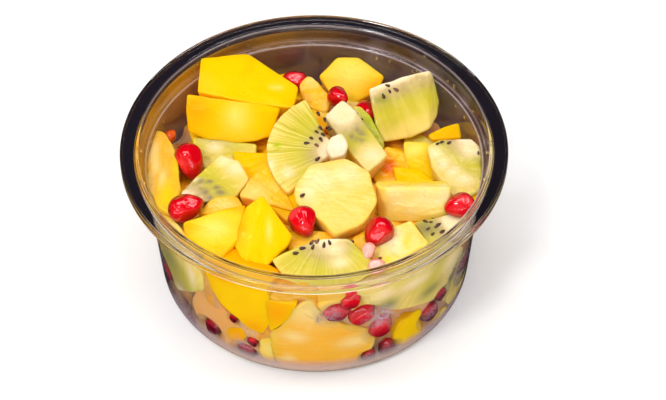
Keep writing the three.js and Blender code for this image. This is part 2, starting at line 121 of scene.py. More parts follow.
def new_piece(name, skins, material, replaced=()):
    """One mesh object of one or more skins, in metres, with their traits as point attributes."""
    offsets = np.cumsum([0] + [len(part["points"]) for part in skins[:-1]])
    points = np.vstack([part["points"] for part in skins]) * MM
    quads = np.vstack([part["quads"] + start for part, start in zip(skins, offsets)])
    fans = np.vstack([part["fans"] + start for part, start in zip(skins, offsets)])
    corners = np.concatenate([quads.ravel(), fans.ravel()]).astype(np.int32)
    starts = np.concatenate([np.arange(len(quads)) * 4, len(quads) * 4 + np.arange(len(fans)) * 3])
    mesh = bpy.data.meshes.new(name)
    mesh.vertices.add(len(points))
    mesh.vertices.foreach_set("co", points.astype(np.float32).ravel())
    mesh.loops.add(len(corners))
    mesh.loops.foreach_set("vertex_index", corners)
    mesh.polygons.add(len(starts))
    mesh.polygons.foreach_set("loop_start", starts.astype(np.int32))
    mesh.polygons.foreach_set("use_smooth", np.ones(len(starts), bool))
    mesh.update(calc_edges=True)
    for key in skins[0]["traits"]:
        values = np.vstack([part["traits"][key] for part in skins]).astype(np.float32)
        kind, field = ("FLOAT", "value") if values.shape[1] == 1 else ("FLOAT_VECTOR", "vector")
        mesh.attributes.new(key, kind, "POINT").data.foreach_set(field, values.ravel())
    mesh.materials.append(material)
    piece = bpy.data.objects.new(name, mesh)
    bpy.context.scene.collection.objects.link(piece)
    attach(piece, "root")
    if replaced:
        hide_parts(*replaced)


def screen(red, green, blue):
    """Linear colour of a screen colour given from 0 to 255."""
    value = np.array([red, green, blue]) / 255
    linear = np.where(value <= 0.04045, value / 12.92, ((value + 0.055) / 1.055) ** 2.4)
    return (*linear.tolist(), 1.0)


def plug(node, inputs):
    """Gives a node's inputs their values, or links them to a socket or to the first output of a node."""
    for name, value in inputs.items():
        value = value.outputs[0] if isinstance(value, bpy.types.Node) else value
        if isinstance(value, bpy.types.NodeSocket):
            node.id_data.links.new(value, node.inputs[name])
        else:
            node.inputs[name].default_value = value
    return node


def place(tree, kind, inputs=None, **settings):
    """Adds a node. settings are its own properties, and inputs what is plugged in."""
    node = tree.nodes.new("ShaderNode" + kind)
    for name, value in settings.items():
        setattr(node, name, value)
    return plug(node, inputs or {})


def math(tree, operation, *values):
    """A sum, product or the like of numbers."""
    return place(tree, "Math", dict(enumerate(values)), operation=operation)


def ranged(tree, value, start=0.0, end=1.0, low=0.0, high=1.0, ease="LINEAR"):
    """A value carried from the range start to end into the range low to high, and held at its ends."""
    return place(tree, "MapRange", {
        "Value": value, "From Min": start, "From Max": end, "To Min": low, "To Max": high,
    }, interpolation_type=ease)


def layered(tree, colour, *layers):
    """A colour under layers, each a share and a colour, as a socket. A colour is a socket too, or a linear
    colour with its alpha, or red, green and blue on a screen."""
    for share, cover in layers:
        pair = [screen(*c) if isinstance(c, tuple) and len(c) == 3 else c for c in (colour, cover)]
        mix = place(tree, "Mix", {"Factor": share, 6: pair[0], 7: pair[1]}, data_type="RGBA")
        colour = mix.outputs[2]
    return colour


def new_material(name):
    """An empty node material, its tree, and the place of a point in it."""
    material = bpy.data.materials.new(name)
    material.use_nodes = True
    material.node_tree.nodes.clear()
    return material, material.node_tree, place(material.node_tree, "TexCoord").outputs["Object"]


def trait(tree, name):
    """A point's own value of a trait of its skin."""
    return place(tree, "Attribute", attribute_name=name).outputs["Fac"]


# The count of surfaces after which light inside the plastic is let out.
LONG_RUN = 3.5


def clear_plastic():
    """Clear plastic with faint rubbed patches, and a painted highlight where it is drawn round a corner: a
    pale diffuse coat, golden at the left, pink at the right and grey at the back. Lamps, soft light and light
    that has long run on inside the sheet pass through it unbent."""
    material, tree, where = new_material("clear_plastic")
    rubbed = place(tree, "TexNoise", {"Vector": where, "Scale": 160.0, "Detail": 3.0})
    glass = place(tree, "BsdfPrincipled", {
        "Base Color": (0.985, 0.985, 0.99, 1.0), "Roughness": ranged(tree, rubbed, 0.45, 0.75, 0.015, 0.07),
        "IOR": 1.5, "Transmission Weight": 1.0,
    })
    axes = place(tree, "SeparateXYZ", {0: where}).outputs
    # Painted highlight: a pale diffuse coat, tinted by where it lies, mixed in on the corners as highlight
    # lines.
    tint = layered(tree, (255, 206, 110), (ranged(tree, axes["X"], -0.03, 0.03), (246, 212, 206)),
                   (ranged(tree, axes["Y"], -0.03, 0.03), (214, 190, 188)))
    hazed = place(tree, "BsdfDiffuse", {"Color": tint})
    sheet = place(tree, "MixShader", {0: trait(tree, "whitened"), 1: glass, 2: hazed})
    passing = place(tree, "BsdfTransparent", {"Color": (0.96, 0.96, 0.97, 1.0)})
    path = place(tree, "LightPath").outputs
    soft = math(tree, "MAXIMUM", path["Is Shadow Ray"], path["Is Diffuse Ray"])
    unbent = math(tree, "MAXIMUM", soft, math(tree, "GREATER_THAN", path["Ray Depth"], LONG_RUN))
    place(tree, "OutputMaterial", {"Surface": place(tree, "MixShader", {0: unbent, 1: sheet, 2: passing})})
    return material


def inner_wall():
    """Corners (radius, height, set back) of the tub's inner side, from its floor to the mouth."""
    return np.array([
        (FAN_RADIUS, WALL, 0), (BASE_RADIUS - WALL, WALL, BASE_CORNER - WALL),
        (*SHOULDER, 0.5), (*LEDGE, 0.5), (MOUTH_RADIUS, TUB_HEIGHT, 1.1),
    ])


def tub_grid():
    """The tub's whole section, inner floor to rim to outer base, turned round +Z."""
    rim_under, skirt_under = TUB_HEIGHT - WALL, TUB_HEIGHT - SKIRT_DROP
    section = np.vstack([inner_wall(), [
        (RIM_RADIUS - 1.5, TUB_HEIGHT, 0.5),
        (RIM_RADIUS, TUB_HEIGHT, 0.9),
        (RIM_RADIUS, skirt_under, 0.3),
        (RIM_RADIUS - WALL, skirt_under, 0.3),
        (RIM_RADIUS - WALL - 0.1, rim_under, 0.3),
        (MOUTH_RADIUS + WALL, rim_under, 1.6),
        (MOUTH_RADIUS + WALL - 0.2, LEDGE_Z - 0.45, 0.6),
        (SHOULDER_RADIUS, LEDGE_Z - 0.9, 0.6),
        (BASE_RADIUS, 0, BASE_CORNER),
        (FAN_RADIUS, 0, 0),
    ]])
    return turned(softened(section[:, :2], section[:, 2], closed=False, **CORNER_STEPS), TUB_SIDES)


# The corners of the section that carry a painted highlight: radius, height, reach and strength.
WHITENED = np.array([
    (*LEDGE, 0.35, 0.95), (*SHOULDER, 0.35, 0.6), (MOUTH_RADIUS + 0.25, TUB_HEIGHT - 0.2, 0.3, 0.35),
    (RIM_RADIUS, TUB_HEIGHT - 0.5, 0.4, 0.07),
])


def whitened(grid):
    """How strongly the painted highlight covers the plastic: the greatest of a bell curve round each such
    corner of its section.
    """
    section = np.stack([np.hypot(grid[..., 0], grid[..., 1]), grid[..., 2]], -1)[..., None, :]
    apart = np.linalg.norm(section - WHITENED[:, :2], axis=-1)
    return (WHITENED[:, 3] * np.exp(-((apart / WHITENED[:, 2]) ** 2))).max(-1, keepdims=True)


tub = tub_grid()
# The trait whitened marks the corners that carry painted highlight lines.
new_piece("clear_tub", [skin(tub, whitened=whitened(tub))], clear_plastic(), ["tub"])


# ---- The juice and the mass of the salad ----
# The bulk under the pieces: small scraps, juice and fruit pressed together, standing in a pool of
# juice that wets the floor and wall of the tub. It touches the plastic in patches.

CORE_SIDES = 240
CORE_EDGE_Z = 32.0
CORE_CROWN_Z = 36.0
CORE_SLOPE = 0.09
CORE_BLEND = 4.0
CORE_START = 2.0
CORE_FLOOR_ROWS, CORE_SIDE_ROWS, CORE_CROWN_ROWS = 8, 34, 26
DEEPEST_DENT = 3.2
WALL_REACH = 0.05
NEAR_WALL = 0.75
HOLLOW_DEPTH, HOLLOW_WIDTH = 4.5, 3.9
JUICE_Z = 6.0

# Arils that lie against the wall, which the mass gives way to: angle from -Y towards +X, height, share
# of the full size, and how much painted shade darkens them.
WALL_ARILS = np.array([
    (-52, 4, 0.5, 1), (-40, 9, 0.8, 1), (-28.6, 20.8, 0.32, 0.9), (-25, 5.5, 0.75, 0.9), (-22, 12, 0.4, 0.7),
    (8.4, 30.5, 0.95, 0.1), (12.8, 35, 0.7, -0.1), (17.3, 27, 1, -0.3), (24.4, 18.5, 1, -0.1),
    (27.5, 6.5, 0.7, 0.8), (20, 6, 0.55, 0.8), (46, 12, 0.95, 0.5), (51, 17, 0.6, 0.7),
    (67, 17.5, 0.95, 0.8), (81, 8, 1, 0.3), (112, 18, 1, 0), (146, 7, 1, 0.3), (183, 15, 1, 0),
    (221, 8, 1, 0.3), (252, 20, 1, 0), (275, 7, 1, 0.3), (292, 15, 1, 0.3),
])
aril_hollows = WALL_ARILS * (1, 1, HOLLOW_WIDTH, 0) + (0, 0, 0, 1)

# Painted shade against the wall, where places are coloured darker as if in shade: angle, height,
# radius and strength.
DUSK_SPOTS = np.array([
    (-62, 24, 12, 0.9), (-52, 12, 8, 0.9), (-56, 5, 8, 0.8), (-45, 20, 5, 0.8), (25, 9, 6, 0.8),
    (62, 12, 7, 0.6), (30, 2, 5, 0.6), (100, 8, 9, 0.6), (150, 22, 10, 0.6), (205, 12, 9, 0.6),
    (250, 8, 9, 0.6), (282, 26, 8, 0.6), (292, 31, 9, 0.8), (240, 32, 10, 0.7), (200, 32, 9, 0.6),
])

inner = inner_wall()
corner_line = softened(inner[:, :2], inner[:, 2], closed=False, **CORNER_STEPS)
rising = corner_line[np.argmax(corner_line[:, 1] > WALL + 1e-3) - 1:]


def wall_radius(height):
    """Radius of the tub's inner side at a height."""
    return np.interp(height, rising[:, 1], rising[:, 0])


def kept_inside(points, reach=WALL_REACH):
    """Pulls points in to just inside the plastic, so that what meets the wall lies flat against it."""
    points = points.copy()
    points[..., 2] = np.maximum(points[..., 2], WALL - reach)
    radius = np.hypot(points[..., 0], points[..., 1])
    limit = wall_radius(points[..., 2]) + reach
    points[..., :2] *= np.minimum(1, limit / np.maximum(radius, 1e-6))[..., None]
    return points


def ripple(points, size, seed, waves=10):
    """Smooth noise from about -1 to 1: the sum of plane sine waves of random direction, phase and length
    round size."""
    draw = np.random.default_rng(seed)
    turn = draw.normal(size=(waves, 3))
    turn /= np.linalg.norm(turn, axis=1, keepdims=True)
    turn *= (2 * np.pi / size) * draw.uniform(0.6, 1.6, (waves, 1))
    phase = draw.uniform(0, 2 * np.pi, waves)
    return np.sin(points @ turn.T + phase).sum(-1) / np.sqrt(waves)


def spotted(points, spots):
    """The greatest, at each point, of a bell curve round each spot (angle, height, radius, strength) on the
    wall."""
    a = np.radians(spots[:, 0])
    out = wall_radius(spots[:, 1])
    centres = np.column_stack([out * np.sin(a), -out * np.cos(a), spots[:, 1]])
    apart = np.linalg.norm(points[..., None, :] - centres, axis=-1)
    return (spots[:, 3] * np.exp(-((apart / spots[:, 2]) ** 2))).max(-1, keepdims=True)


def drawn_in(points, amount):
    """Points moved towards the tub's axis by an amount: all of it at the wall, less farther in, and none
    nearer the axis than NEAR_WALL times the wall's radius."""
    radius = np.hypot(points[..., 0], points[..., 1])
    share = np.clip(radius / wall_radius(points[..., 2]) - NEAR_WALL, 0, 1 - NEAR_WALL) / (1 - NEAR_WALL)
    points = points.copy()
    points[..., :2] *= (1 - share * amount / np.maximum(radius, 1))[..., None]
    return points


def given_way(points):
    """Points near the wall drawn in, to leave a round hollow for each aril that lies there."""
    return drawn_in(points, HOLLOW_DEPTH * spotted(points, aril_hollows)[..., 0])


def core_grid():
    """A mound turned round +Z: up the wall with patches that touch it and hollows for the arils, then in
    over the sloping crown, with bumps of the size of the scraps."""
    side_z = np.linspace(WALL, CORE_EDGE_Z, CORE_SIDE_ROWS)
    side = np.column_stack([wall_radius(side_z), side_z])
    out = np.linspace(CORE_START, side[0, 0], CORE_FLOOR_ROWS)[:-1]
    floor = np.column_stack([out, np.full(len(out), WALL)])
    inward = np.linspace(1, 0.02, CORE_CROWN_ROWS)[1:]
    crown_z = CORE_EDGE_Z + (CORE_CROWN_Z - CORE_EDGE_Z) * (1 - inward**2)
    crown = np.column_stack([side[-1, 0] * inward, crown_z])
    grid = turned(np.vstack([floor, side, crown])[::-1], CORE_SIDES)
    above_juice = np.clip((grid[..., 2] - JUICE_Z) / CORE_BLEND, 0, 1)
    dent = 0.3 + 1.1 * ripple(grid, 12, 21) + 0.5 * ripple(grid, 5, 22)
    grid = drawn_in(grid, np.clip(dent, 0, DEEPEST_DENT) * above_juice)
    upper = np.clip((grid[..., 2] - CORE_EDGE_Z) / CORE_BLEND + 1, 0, 1)
    grid[..., 2] += upper * (1.2 * ripple(grid, 9, 23) - CORE_SLOPE * grid[..., 1])
    return given_way(kept_inside(grid))


def new_group(name, usual, result):
    """An empty group for a place and some numbers, of usual values: its tree, its given sockets and its
    output node."""
    tree = bpy.data.node_groups.new(name, "ShaderNodeTree")
    tree.interface.new_socket("Vector", in_out="INPUT", socket_type="NodeSocketVector")
    for key, value in usual.items():
        tree.interface.new_socket(key, in_out="INPUT", socket_type="NodeSocketFloat").default_value = value
    tree.interface.new_socket(result, in_out="OUTPUT", socket_type="NodeSocketFloat")
    return tree, tree.nodes.new("NodeGroupInput").outputs, tree.nodes.new("NodeGroupOutput")


def soft_patches():
    """Group: a mask of soft patches. Size is a patch's length in metres, Cover how much they cover and
    Blur how wide their borders are."""
    usual = {"Size": 0.01, "Cover": 0.2, "Blur": 0.16, "Detail": 2.0}
    tree, given, out = new_group("soft_patches", usual, "Mask")
    cloud = place(tree, "TexNoise", {
        "Vector": given["Vector"], "Scale": math(tree, "DIVIDE", 1.0, given["Size"]),
        "Detail": given["Detail"], "Distortion": 0.3,
    })
    low = math(tree, "SUBTRACT", 0.72, given["Cover"])
    high = math(tree, "ADD", low, given["Blur"])
    plug(out, {"Mask": ranged(tree, cloud, low, high, ease="SMOOTHSTEP")})
    return tree


def wet_relief():
    """Group: height of cut, wet fruit, from 0 to 1: broad swells, fine cells, and beads of juice that
    stand up in a share of the bead cells."""
    usual = {"Swell Size": 0.004, "Cell Size": 0.0012, "Cell Share": 0.2, "Bead Size": 0.0022,
             "Bead Share": 0.2}
    tree, given, out = new_group("wet_relief", usual, "Height")
    swell, cell, bead = ({"Vector": given["Vector"], "Scale": math(tree, "DIVIDE", 1.0, given[size])}
                         for size in ("Swell Size", "Cell Size", "Bead Size"))
    swells = place(tree, "TexNoise", {**swell, "Detail": 2.0})
    cells = place(tree, "TexVoronoi", cell, feature="SMOOTH_F1")
    height = place(tree, "Mix", {"Factor": given["Cell Share"], "A": swells, "B": cells})
    beads = place(tree, "TexVoronoi", bead)
    dome = ranged(tree, beads, 0.3, 0.05, ease="SMOOTHERSTEP")
    drawn = place(tree, "SeparateColor", {0: beads.outputs["Color"]})
    chosen = math(tree, "LESS_THAN", drawn, given["Bead Share"])
    plug(out, {"Height": math(tree, "ADD", height, math(tree, "MULTIPLY", dome, chosen))})
    return tree


SOFT_PATCHES = soft_patches()
WET_RELIEF = wet_relief()


def vector(tree, operation, *values):
    """A sum, product or the like of vectors."""
    return place(tree, "VectorMath", dict(enumerate(values)), operation=operation)


def patches(tree, where, size, cover=0.2, blur=0.16, detail=2.0, shift=None):
    """Soft patches at a place, moved by shift so that two patterns on one piece differ."""
    at = vector(tree, "ADD", where, shift) if shift else where
    return place(tree, "Group", {
        "Vector": at, "Size": size, "Cover": cover, "Blur": blur, "Detail": detail,
    }, node_tree=SOFT_PATCHES)


def relief(tree, where, sizes):
    """The wet relief at a place, with those of its sizes that differ from the usual."""
    return place(tree, "Group", {"Vector": where, **sizes}, node_tree=WET_RELIEF)


def wet_surface(tree, height, strength, depth, inputs):
    """Ends a material: a surface of these inputs, embossed by a height with a strength and to a depth in
    metres."""
    bump = place(tree, "Bump", {"Height": height, "Strength": strength, "Distance": depth})
    place(tree, "OutputMaterial", {"Surface": place(tree, "BsdfPrincipled", {"Normal": bump, **inputs})})


def pressed_salad():
    """Juice and pressed scraps: peach and amber fruit, painted shade in places against the wall, beige pulp
    at the foot.
    """
    material, tree, where = new_material("pressed_salad")
    height = place(tree, "SeparateXYZ", {0: where}).outputs["Z"]
    amber = patches(tree, where, 0.011, cover=0.27, blur=0.1)
    haze = patches(tree, where, 0.016, shift=(0.11, 0.52, 0.33))
    # Painted shade: dark, mottled colours laid where the trait dusk marks places in shade.
    dark = patches(tree, where, 0.004, cover=0.3, shift=(0.31, 0.12, 0.07))
    shade = layered(tree, (128, 104, 92), (dark, (84, 40, 56)))
    side = layered(tree, (228, 172, 112), (amber, (232, 158, 52)), (haze, (206, 160, 132)),
                   (trait(tree, "dusk"), shade))
    crown = layered(tree, (244, 176, 58), (amber, (250, 180, 14)))
    pool = layered(tree, (228, 192, 152), (haze, (206, 172, 160)))
    upper = ranged(tree, height, 0.029, 0.034, ease="SMOOTHSTEP")
    foot = ranged(tree, height, 0.0045, 0.009, 1.0, 0.0, ease="SMOOTHSTEP")
    wet_surface(tree, relief(tree, where, {"Cell Size": 0.0014, "Cell Share": 0.35}), 0.6, 0.0008, {
        "Base Color": layered(tree, side, (upper, crown), (foot, pool)), "Roughness": 0.25,
        "Subsurface Weight": 0.4, "Subsurface Radius": (1.0, 0.5, 0.25), "Subsurface Scale": 0.003,
        "Specular IOR Level": 0.4,
    })
    return material


core = core_grid()
# dusk holds how strongly each point is darkened as painted shade.
core_skin = skin(core, dusk=spotted(core, DUSK_SPOTS))
new_piece("salad_core", [core_skin], pressed_salad(), ["heap"])


# ---- Cut mango ----
# Ripe mango, peeled and cut with a knife into slabs, wedges and blocks: smooth, wet, saturated yellow
# faces, deeper orange at the edges and down the sides, there as painted shade, with soft pale patches,
# partly painted highlights.

KNIFE_EDGE = 0.7
NARROWING = 0.1
MARK_DEPTH = 4.0
RIM_WIDTH = 1.4
RIM_SHARPNESS = 12
SHAKE_SIZE = 6
GRAIN_SIZE = 2.2
GRAIN_SHARE = 0.6
WALL_PIECE_DEPTH = 9.0
WALL_PRESS = 0.5


def cut_rows(depth, edge):
    """Rows of a cut piece from the middle of its upper face to the middle of its lower one, as the share
    of the outline's reach, the inset from the outline and the height."""
    face = np.array([0.03, 0.14, 0.27, 0.4, 0.53, 0.65, 0.76, 0.86, 0.94])
    back = face[::-2]
    quarter = np.radians([0, 22, 45, 68, 90])
    down = np.linspace(edge, depth - edge, 9)[1:-1]
    share = np.concatenate([face, np.ones(2 * len(quarter) + len(down)), back])
    bend = edge * (1 - np.sin(quarter))
    inset = np.concatenate([edge + 0 * face, bend, 0 * down, bend[::-1], edge + 0 * back])
    drop = edge * (1 - np.cos(quarter))
    height = -np.concatenate([0 * face, drop, down, depth - drop[::-1], depth + 0 * back])
    return share[:, None], inset[:, None], height[:, None]


def spun(axis, degrees):
    """Rotation about one axis, 0 to 2 for X to Z."""
    i, j, a = (axis + 1) % 3, (axis + 2) % 3, np.radians(degrees)
    turn = np.eye(3)
    turn[[i, i, j, j], [i, j, i, j]] = np.cos(a), -np.sin(a), np.sin(a), np.cos(a)
    return turn


def lie_of(row):
    """Rotation of a row's piece: its face's +Z leaned towards -Y by roll, then turned round +Z by head."""
    return spun(2, row.get("head", 0)) @ spun(0, row["roll"])


def marked(local, marks):
    """From 0 to 1 over a piece: a soft oval round each mark (x, y, half width, half height) of its upper
    face, which fades over MARK_DEPTH down its sides, or over the depth that the mark gives as a fifth."""
    value = np.zeros(local.shape[:2])
    for x, y, wide, high, *deep in marks:
        down = local[..., 2] / (deep[0] if deep else MARK_DEPTH)
        far = ((local[..., 0] - x) / wide) ** 2 + ((local[..., 1] - y) / high) ** 2 + down**2
        value = np.maximum(value, np.exp(-far))
    return value[..., None]


def cut_piece(face, depth, at, turn, seed, edge=KNIFE_EDGE, corner=1.0, folds=(), dome=0.0, rough=0.06,
              axis=(0, 0), tone=0.5, pale=(), stain=(), reach=WALL_REACH):
    """Skin of a piece cut by a knife. Its rows carry the softened outline from the middle of the upper face
    out to the edge, round a quarter circle, down the side while it narrows, round again and back to the
    middle below. A fold (x, y, heading, slope) sinks what lies left of a line across the face. The trait
    flesh is a point's place from the fruit's axis, which stands on the face at (x, y), or lies in it where
    a heading follows."""
    outline = softened(np.array(face, float), corner)
    ahead = np.roll(outline, -1, 0)
    if (outline[:, 0] * ahead[:, 1] - outline[:, 1] * ahead[:, 0]).sum() < 0:
        outline = outline[::-1]
    share, inset, height = cut_rows(depth, edge)
    spokes = outline - outline.mean(0)
    flat = outline.mean(0) + spokes * (share * (1 - inset / np.linalg.norm(spokes, axis=1)))[..., None]
    top = 1 + height / depth
    rise = height + dome * (1 - share**2) * (top > 0.5)
    for x, y, heading, slope in folds:
        a = np.radians(heading)
        left = (flat[..., 1] - y) * np.cos(a) - (flat[..., 0] - x) * np.sin(a)
        rise = rise - np.tan(np.radians(slope)) * np.maximum(left, 0) * top
    full = flat.shape[:2] + (1,)
    local = np.concatenate([flat * (1 + NARROWING * height / depth)[..., None],
                            np.broadcast_to(rise, full[:2])[..., None]], -1)
    shaken = local + rough * np.stack([ripple(local, SHAKE_SIZE, seed + k) for k in (0, 1, 2)], -1)
    shaken[..., 2] += GRAIN_SHARE * rough * ripple(local, GRAIN_SIZE, seed + 3)
    rim = np.exp(-np.minimum(-height, depth + height) / RIM_WIDTH) * share**RIM_SHARPNESS
    flesh = local - np.array([*axis[:2], 0.0])
    if len(axis) == 3:
        x, y, z = np.moveaxis(flesh @ spun(2, axis[2]), -1, 0)
        flesh = np.stack([y, z, x], -1)
    placed = given_way(kept_inside(shaken @ turn.T + np.array(at, float), reach))
    return skin(placed, flesh=flesh, rim=np.broadcast_to(rim[..., None], full), tone=np.full(full, tone),
                pale=marked(local, pale), stain=marked(local, stain))


def against_wall(angle, height, turn=0.0):
    """Place and rotation of a piece flat against the wall, at an angle from -Y towards +X and a height."""
    along, up = spun(2, angle)[:, 0], np.array([0, 0, 1.0])
    out = np.cross(along, up)
    at = (wall_radius(height) + WALL_PRESS) * out + up * height
    return at, np.column_stack([along, up, out]) @ spun(2, turn)


def new_flesh(name):
    """An empty material for a fruit, its tree, the place of a point, its place from the fruit's axis in
    millimetres, and the traits of its piece."""
    material, tree, where = new_material(name)
    own = place(tree, "Attribute", attribute_name="flesh").outputs["Vector"]
    return material, tree, where, own, *(trait(tree, kind) for kind in ("rim", "tone", "pale", "stain"))


def mango_flesh():
    """Saturated yellow flesh with pale patches, partly painted highlights, and deeper orange at the edges
    and down the sides, where it is painted shade.
    """
    material, tree, where, own, rim, tone, pale, stain = new_flesh("mango_flesh")
    height = place(tree, "SeparateXYZ", {0: own}).outputs["Z"]
    # Painted shade: the flesh turns deeper orange down the piece's sides.
    depth = ranged(tree, height, -1.5, -10.0, ease="SMOOTHSTEP")
    patch = math(tree, "MULTIPLY", patches(tree, where, 0.018, blur=0.3, detail=1.0), tone)
    warm = patches(tree, where, 0.014, blur=0.3, detail=1.0, shift=(0.2, 0.4, 0.1))
    # The pale marks are partly painted highlights; the patches are the flesh's own paler tone.
    colour = layered(tree, (255, 200, 0), (warm, (255, 186, 0)), (depth, (255, 166, 0)),
                     (math(tree, "MULTIPLY", rim, 0.4), (255, 180, 0)),
                     (math(tree, "MAXIMUM", patch, pale), (255, 216, 98)), (stain, (255, 168, 0)))
    sizes = {"Swell Size": 0.006, "Cell Share": 0.1, "Bead Share": 0.12}
    wet_surface(tree, relief(tree, where, sizes), 0.4, 0.0004, {
        "Base Color": colour, "Roughness": 0.22, "Subsurface Weight": 0.5,
        "Subsurface Radius": (1.0, 0.5, 0.05), "Subsurface Scale": 0.003, "Specular IOR Level": 0.3,
        "Specular Tint": (1.0, 0.85, 0.2, 1.0),
    })
    return material


# Each piece on top: the middle of its upper face, the lean of that face, its depth and outline, with
# the folds where the knife met it twice. A low tone weakens the pattern of the flesh, and pale and
# stain are ovals of lighter and of deeper colour. The pale ovals are partly painted highlights,
# and on some kiwi pieces the deeper ones are painted shade.
MANGO_ON_TOP = {
    "mango_slab_back": dict(
        at=(-22, 29, 49), roll=10, depth=8, dome=0.3, tone=0.1, pale=[(10, -2, 1.5, 1)],
        face=[(-14.5, 10), (0.5, 12), (17, -1.5), (15.5, -10), (2.5, -8), (-15, -3.5)]),
    "mango_gem_front": dict(
        at=(-15, -32, 44), roll=30, depth=14, folds=[(0, 13, 77, 12)], tone=0.1, pale=[(2, 2, 0.8, 3)],
        stain=[(-6.5, 3, 2, 5)],
        face=[(0, 13), (9, 0.5), (7.5, -2.5), (0.5, -9.5), (-6, -7), (-8.5, -1.5), (-5, 9.5)]),
    "mango_block_left": dict(
        at=(-29.5, -29.5, 44), roll=15, depth=12, tone=0.0, pale=[(0.5, 1, 4.5, 3.4)],
        stain=[(-9, 0, 3.5, 3), (4, -8.5, 5, 3), (8, 8, 4, 2)],
        face=[(-9, 3), (2.5, 7.5), (9.5, 9), (7.5, -3), (3, -9), (-8, -1.5)]),
    "mango_wedge_back": dict(
        at=(-24.5, 18, 44.5), roll=45, depth=15, dome=0.8, tone=0.2, pale=[(0, 0, 3.5, 4)],
        stain=[(-13, 2, 6, 6)],
        face=[(-15.4, 7.3), (-1.6, 5.2), (8, 4.2), (14, 3), (10.8, -6), (6.8, -7.3), (0.1, -8.3),
            (-10.4, -6.8), (-15.1, -4.5), (-15.9, 2.3)]),
    "mango_block_back": dict(
        at=(11.5, 42, 38), roll=30, depth=11, dome=0.6, tone=0.4, pale=[(0, 2, 7, 6)],
        stain=[(8, -4, 4, 4)],
        face=[(-10.5, 1.5), (-4.5, 8), (2.5, 8), (11, 1.5), (9, -3.5), (0.5, -8), (-6, -5.5)]),
    "mango_piece_right": dict(
        at=(32.5, 5.5, 39), roll=25, depth=11, pale=[(-2, 3, 4, 3)],
        face=[(-5, 5.5), (3, 5.5), (5, -0.5), (9, -10), (0, -6.5), (-4.5, -2)]),
    "mango_tip_right": dict(
        at=(41, 19, 37), roll=15, depth=8, tone=0.1,
        face=[(-5.5, -0.8), (0.2, 2.3), (4.7, 3.8), (5.3, -2), (-4, -3)]),
    "mango_wedge_front": dict(
        at=(-24, -45, 30), roll=90, head=-28, depth=11, tone=0.0, stain=[(7, -9, 5, 4), (-5, 11, 5, 3)],
        face=[(-11, 12.5), (-8.2, 7.4), (-7.2, 1.7), (-4.1, -3.9), (5.1, -10.8), (9.2, -11.6),
            (12.1, -4.3), (12.7, 2), (11.6, 10.5)]),
}
MANGO_BELOW = [
    dict(at=(-9.5, -13, 40), roll=12, depth=8,
        face=[(-7.5, 10), (1, 8), (6.5, 1.5), (6.5, -7.5), (1, -7.5), (-6, 0)]),
    dict(at=(43.5, -9, 38), roll=15, depth=9,
        face=[(-8, 5), (4, 3.5), (8.5, 0.5), (5.5, -4), (-2.5, -3.5), (-6.5, -0.5)]),
    dict(at=(30.5, -2.5, 37.5), roll=15, depth=8,
        face=[(-6.5, 5), (2.5, 4), (8, -2), (5, -5), (-4.5, -3.5)]),
    dict(at=(-18.5, 3, 38), roll=15, depth=8,
        face=[(-7, 5.5), (4, 5), (7, -3.5), (-0.5, -6.5), (-5.5, -2)]),
    dict(at=(-8.5, 44, 33.5), roll=10, depth=9,
        face=[(-10.5, 4), (3, 6.5), (10, 1.5), (8.5, -5.5), (-3, -5.5), (-9, -2.5)]),
    dict(at=(-29, 16, 34), roll=20, depth=8,
        face=[(-11.5, 7), (4.5, 3), (11.5, 3), (11.5, -5), (-2, -5), (-9.5, 0)]),
]


def on_wall(outline, **finish):
    """Row of a piece flat against the wall, from its outline of (angle, height) corners: the middle of the
    outline, and its corners in millimetres from there along the wall and up."""
    corners = np.array(outline, float)
    angle, height = corners.mean(0)
    along = wall_radius(height) * np.tan(np.radians(corners[:, 0] - angle))
    return dict(angle=angle, height=height, face=np.column_stack([along, corners[:, 1] - height]), **finish)


MANGO_ON_WALL = [
    on_wall([(-16, 36), (-5, 36.5), (-7.5, 30), (-11, 25), (-14.8, 21)], tone=0.0, stain=[(-2, 1, 6, 7)]),
    on_wall([(31, 18), (39.8, 19.5), (42.5, 12), (42, 5), (36, 3.5), (29.5, 6.5), (29, 13)], tone=0.0),
    on_wall([(-32, 14), (-29.5, 17), (-25, 18.5), (-23.8, 14), (-27, 10.5), (-31, 10)], tone=0.0,
        stain=[(0, 0, 9, 9)]),
]


def laid(row, seed, **finish):
    """Skin of a piece that lies in the heap, from its row of sizes."""
    sizes = {key: value for key, value in row.items() if key not in ("at", "roll", "head", "seeds")}
    return cut_piece(at=row["at"], turn=lie_of(row), seed=seed, **{**finish, **sizes})


def pressed(row, seed, **finish):
    """Skin of a piece that lies against the wall, from its row of sizes."""
    at, turn = against_wall(row["angle"], row["height"], row.get("turn", 0))
    sizes = {key: value for key, value in row.items() if key not in ("angle", "height", "turn")}
    return cut_piece(depth=WALL_PIECE_DEPTH, at=at, turn=turn, seed=seed, **{**finish, **sizes})


# Rows of drawn pieces at the back: height, first and last angle, and how many.
BACK_ROWS = ((10, 90, 268, 8), (23, 84, 282, 9))
BACK_FACE = (17, 13)
FRUITS = ("mango", "pineapple", "kiwi", "peach")


def back_wall_pieces():
    """Pieces along the wall from the right side round the back: two rows of four- to six-sided faces of
    drawn size, as (kind, row) with the kinds taken in turn by the draw."""
    draw = np.random.default_rng(5)
    found = []
    for height, first, final, count in BACK_ROWS:
        for angle in np.linspace(first, final, count):
            sides = int(draw.integers(4, 7))
            spot = (np.arange(sides) + draw.uniform(-0.3, 0.3, sides)) * 2 * np.pi / sides
            wide, high = (size + draw.uniform(-3, 3) for size in BACK_FACE)
            face = np.column_stack([wide / 2 * np.cos(spot), high / 2 * np.sin(spot)])
            row = dict(angle=angle + draw.uniform(-2, 2), height=height + draw.uniform(-1.5, 1.5),
                       turn=draw.uniform(-25, 25), face=face)
            found.append((FRUITS[draw.integers(0, len(FRUITS))], row))
    return found


BACK_WALL = back_wall_pieces()


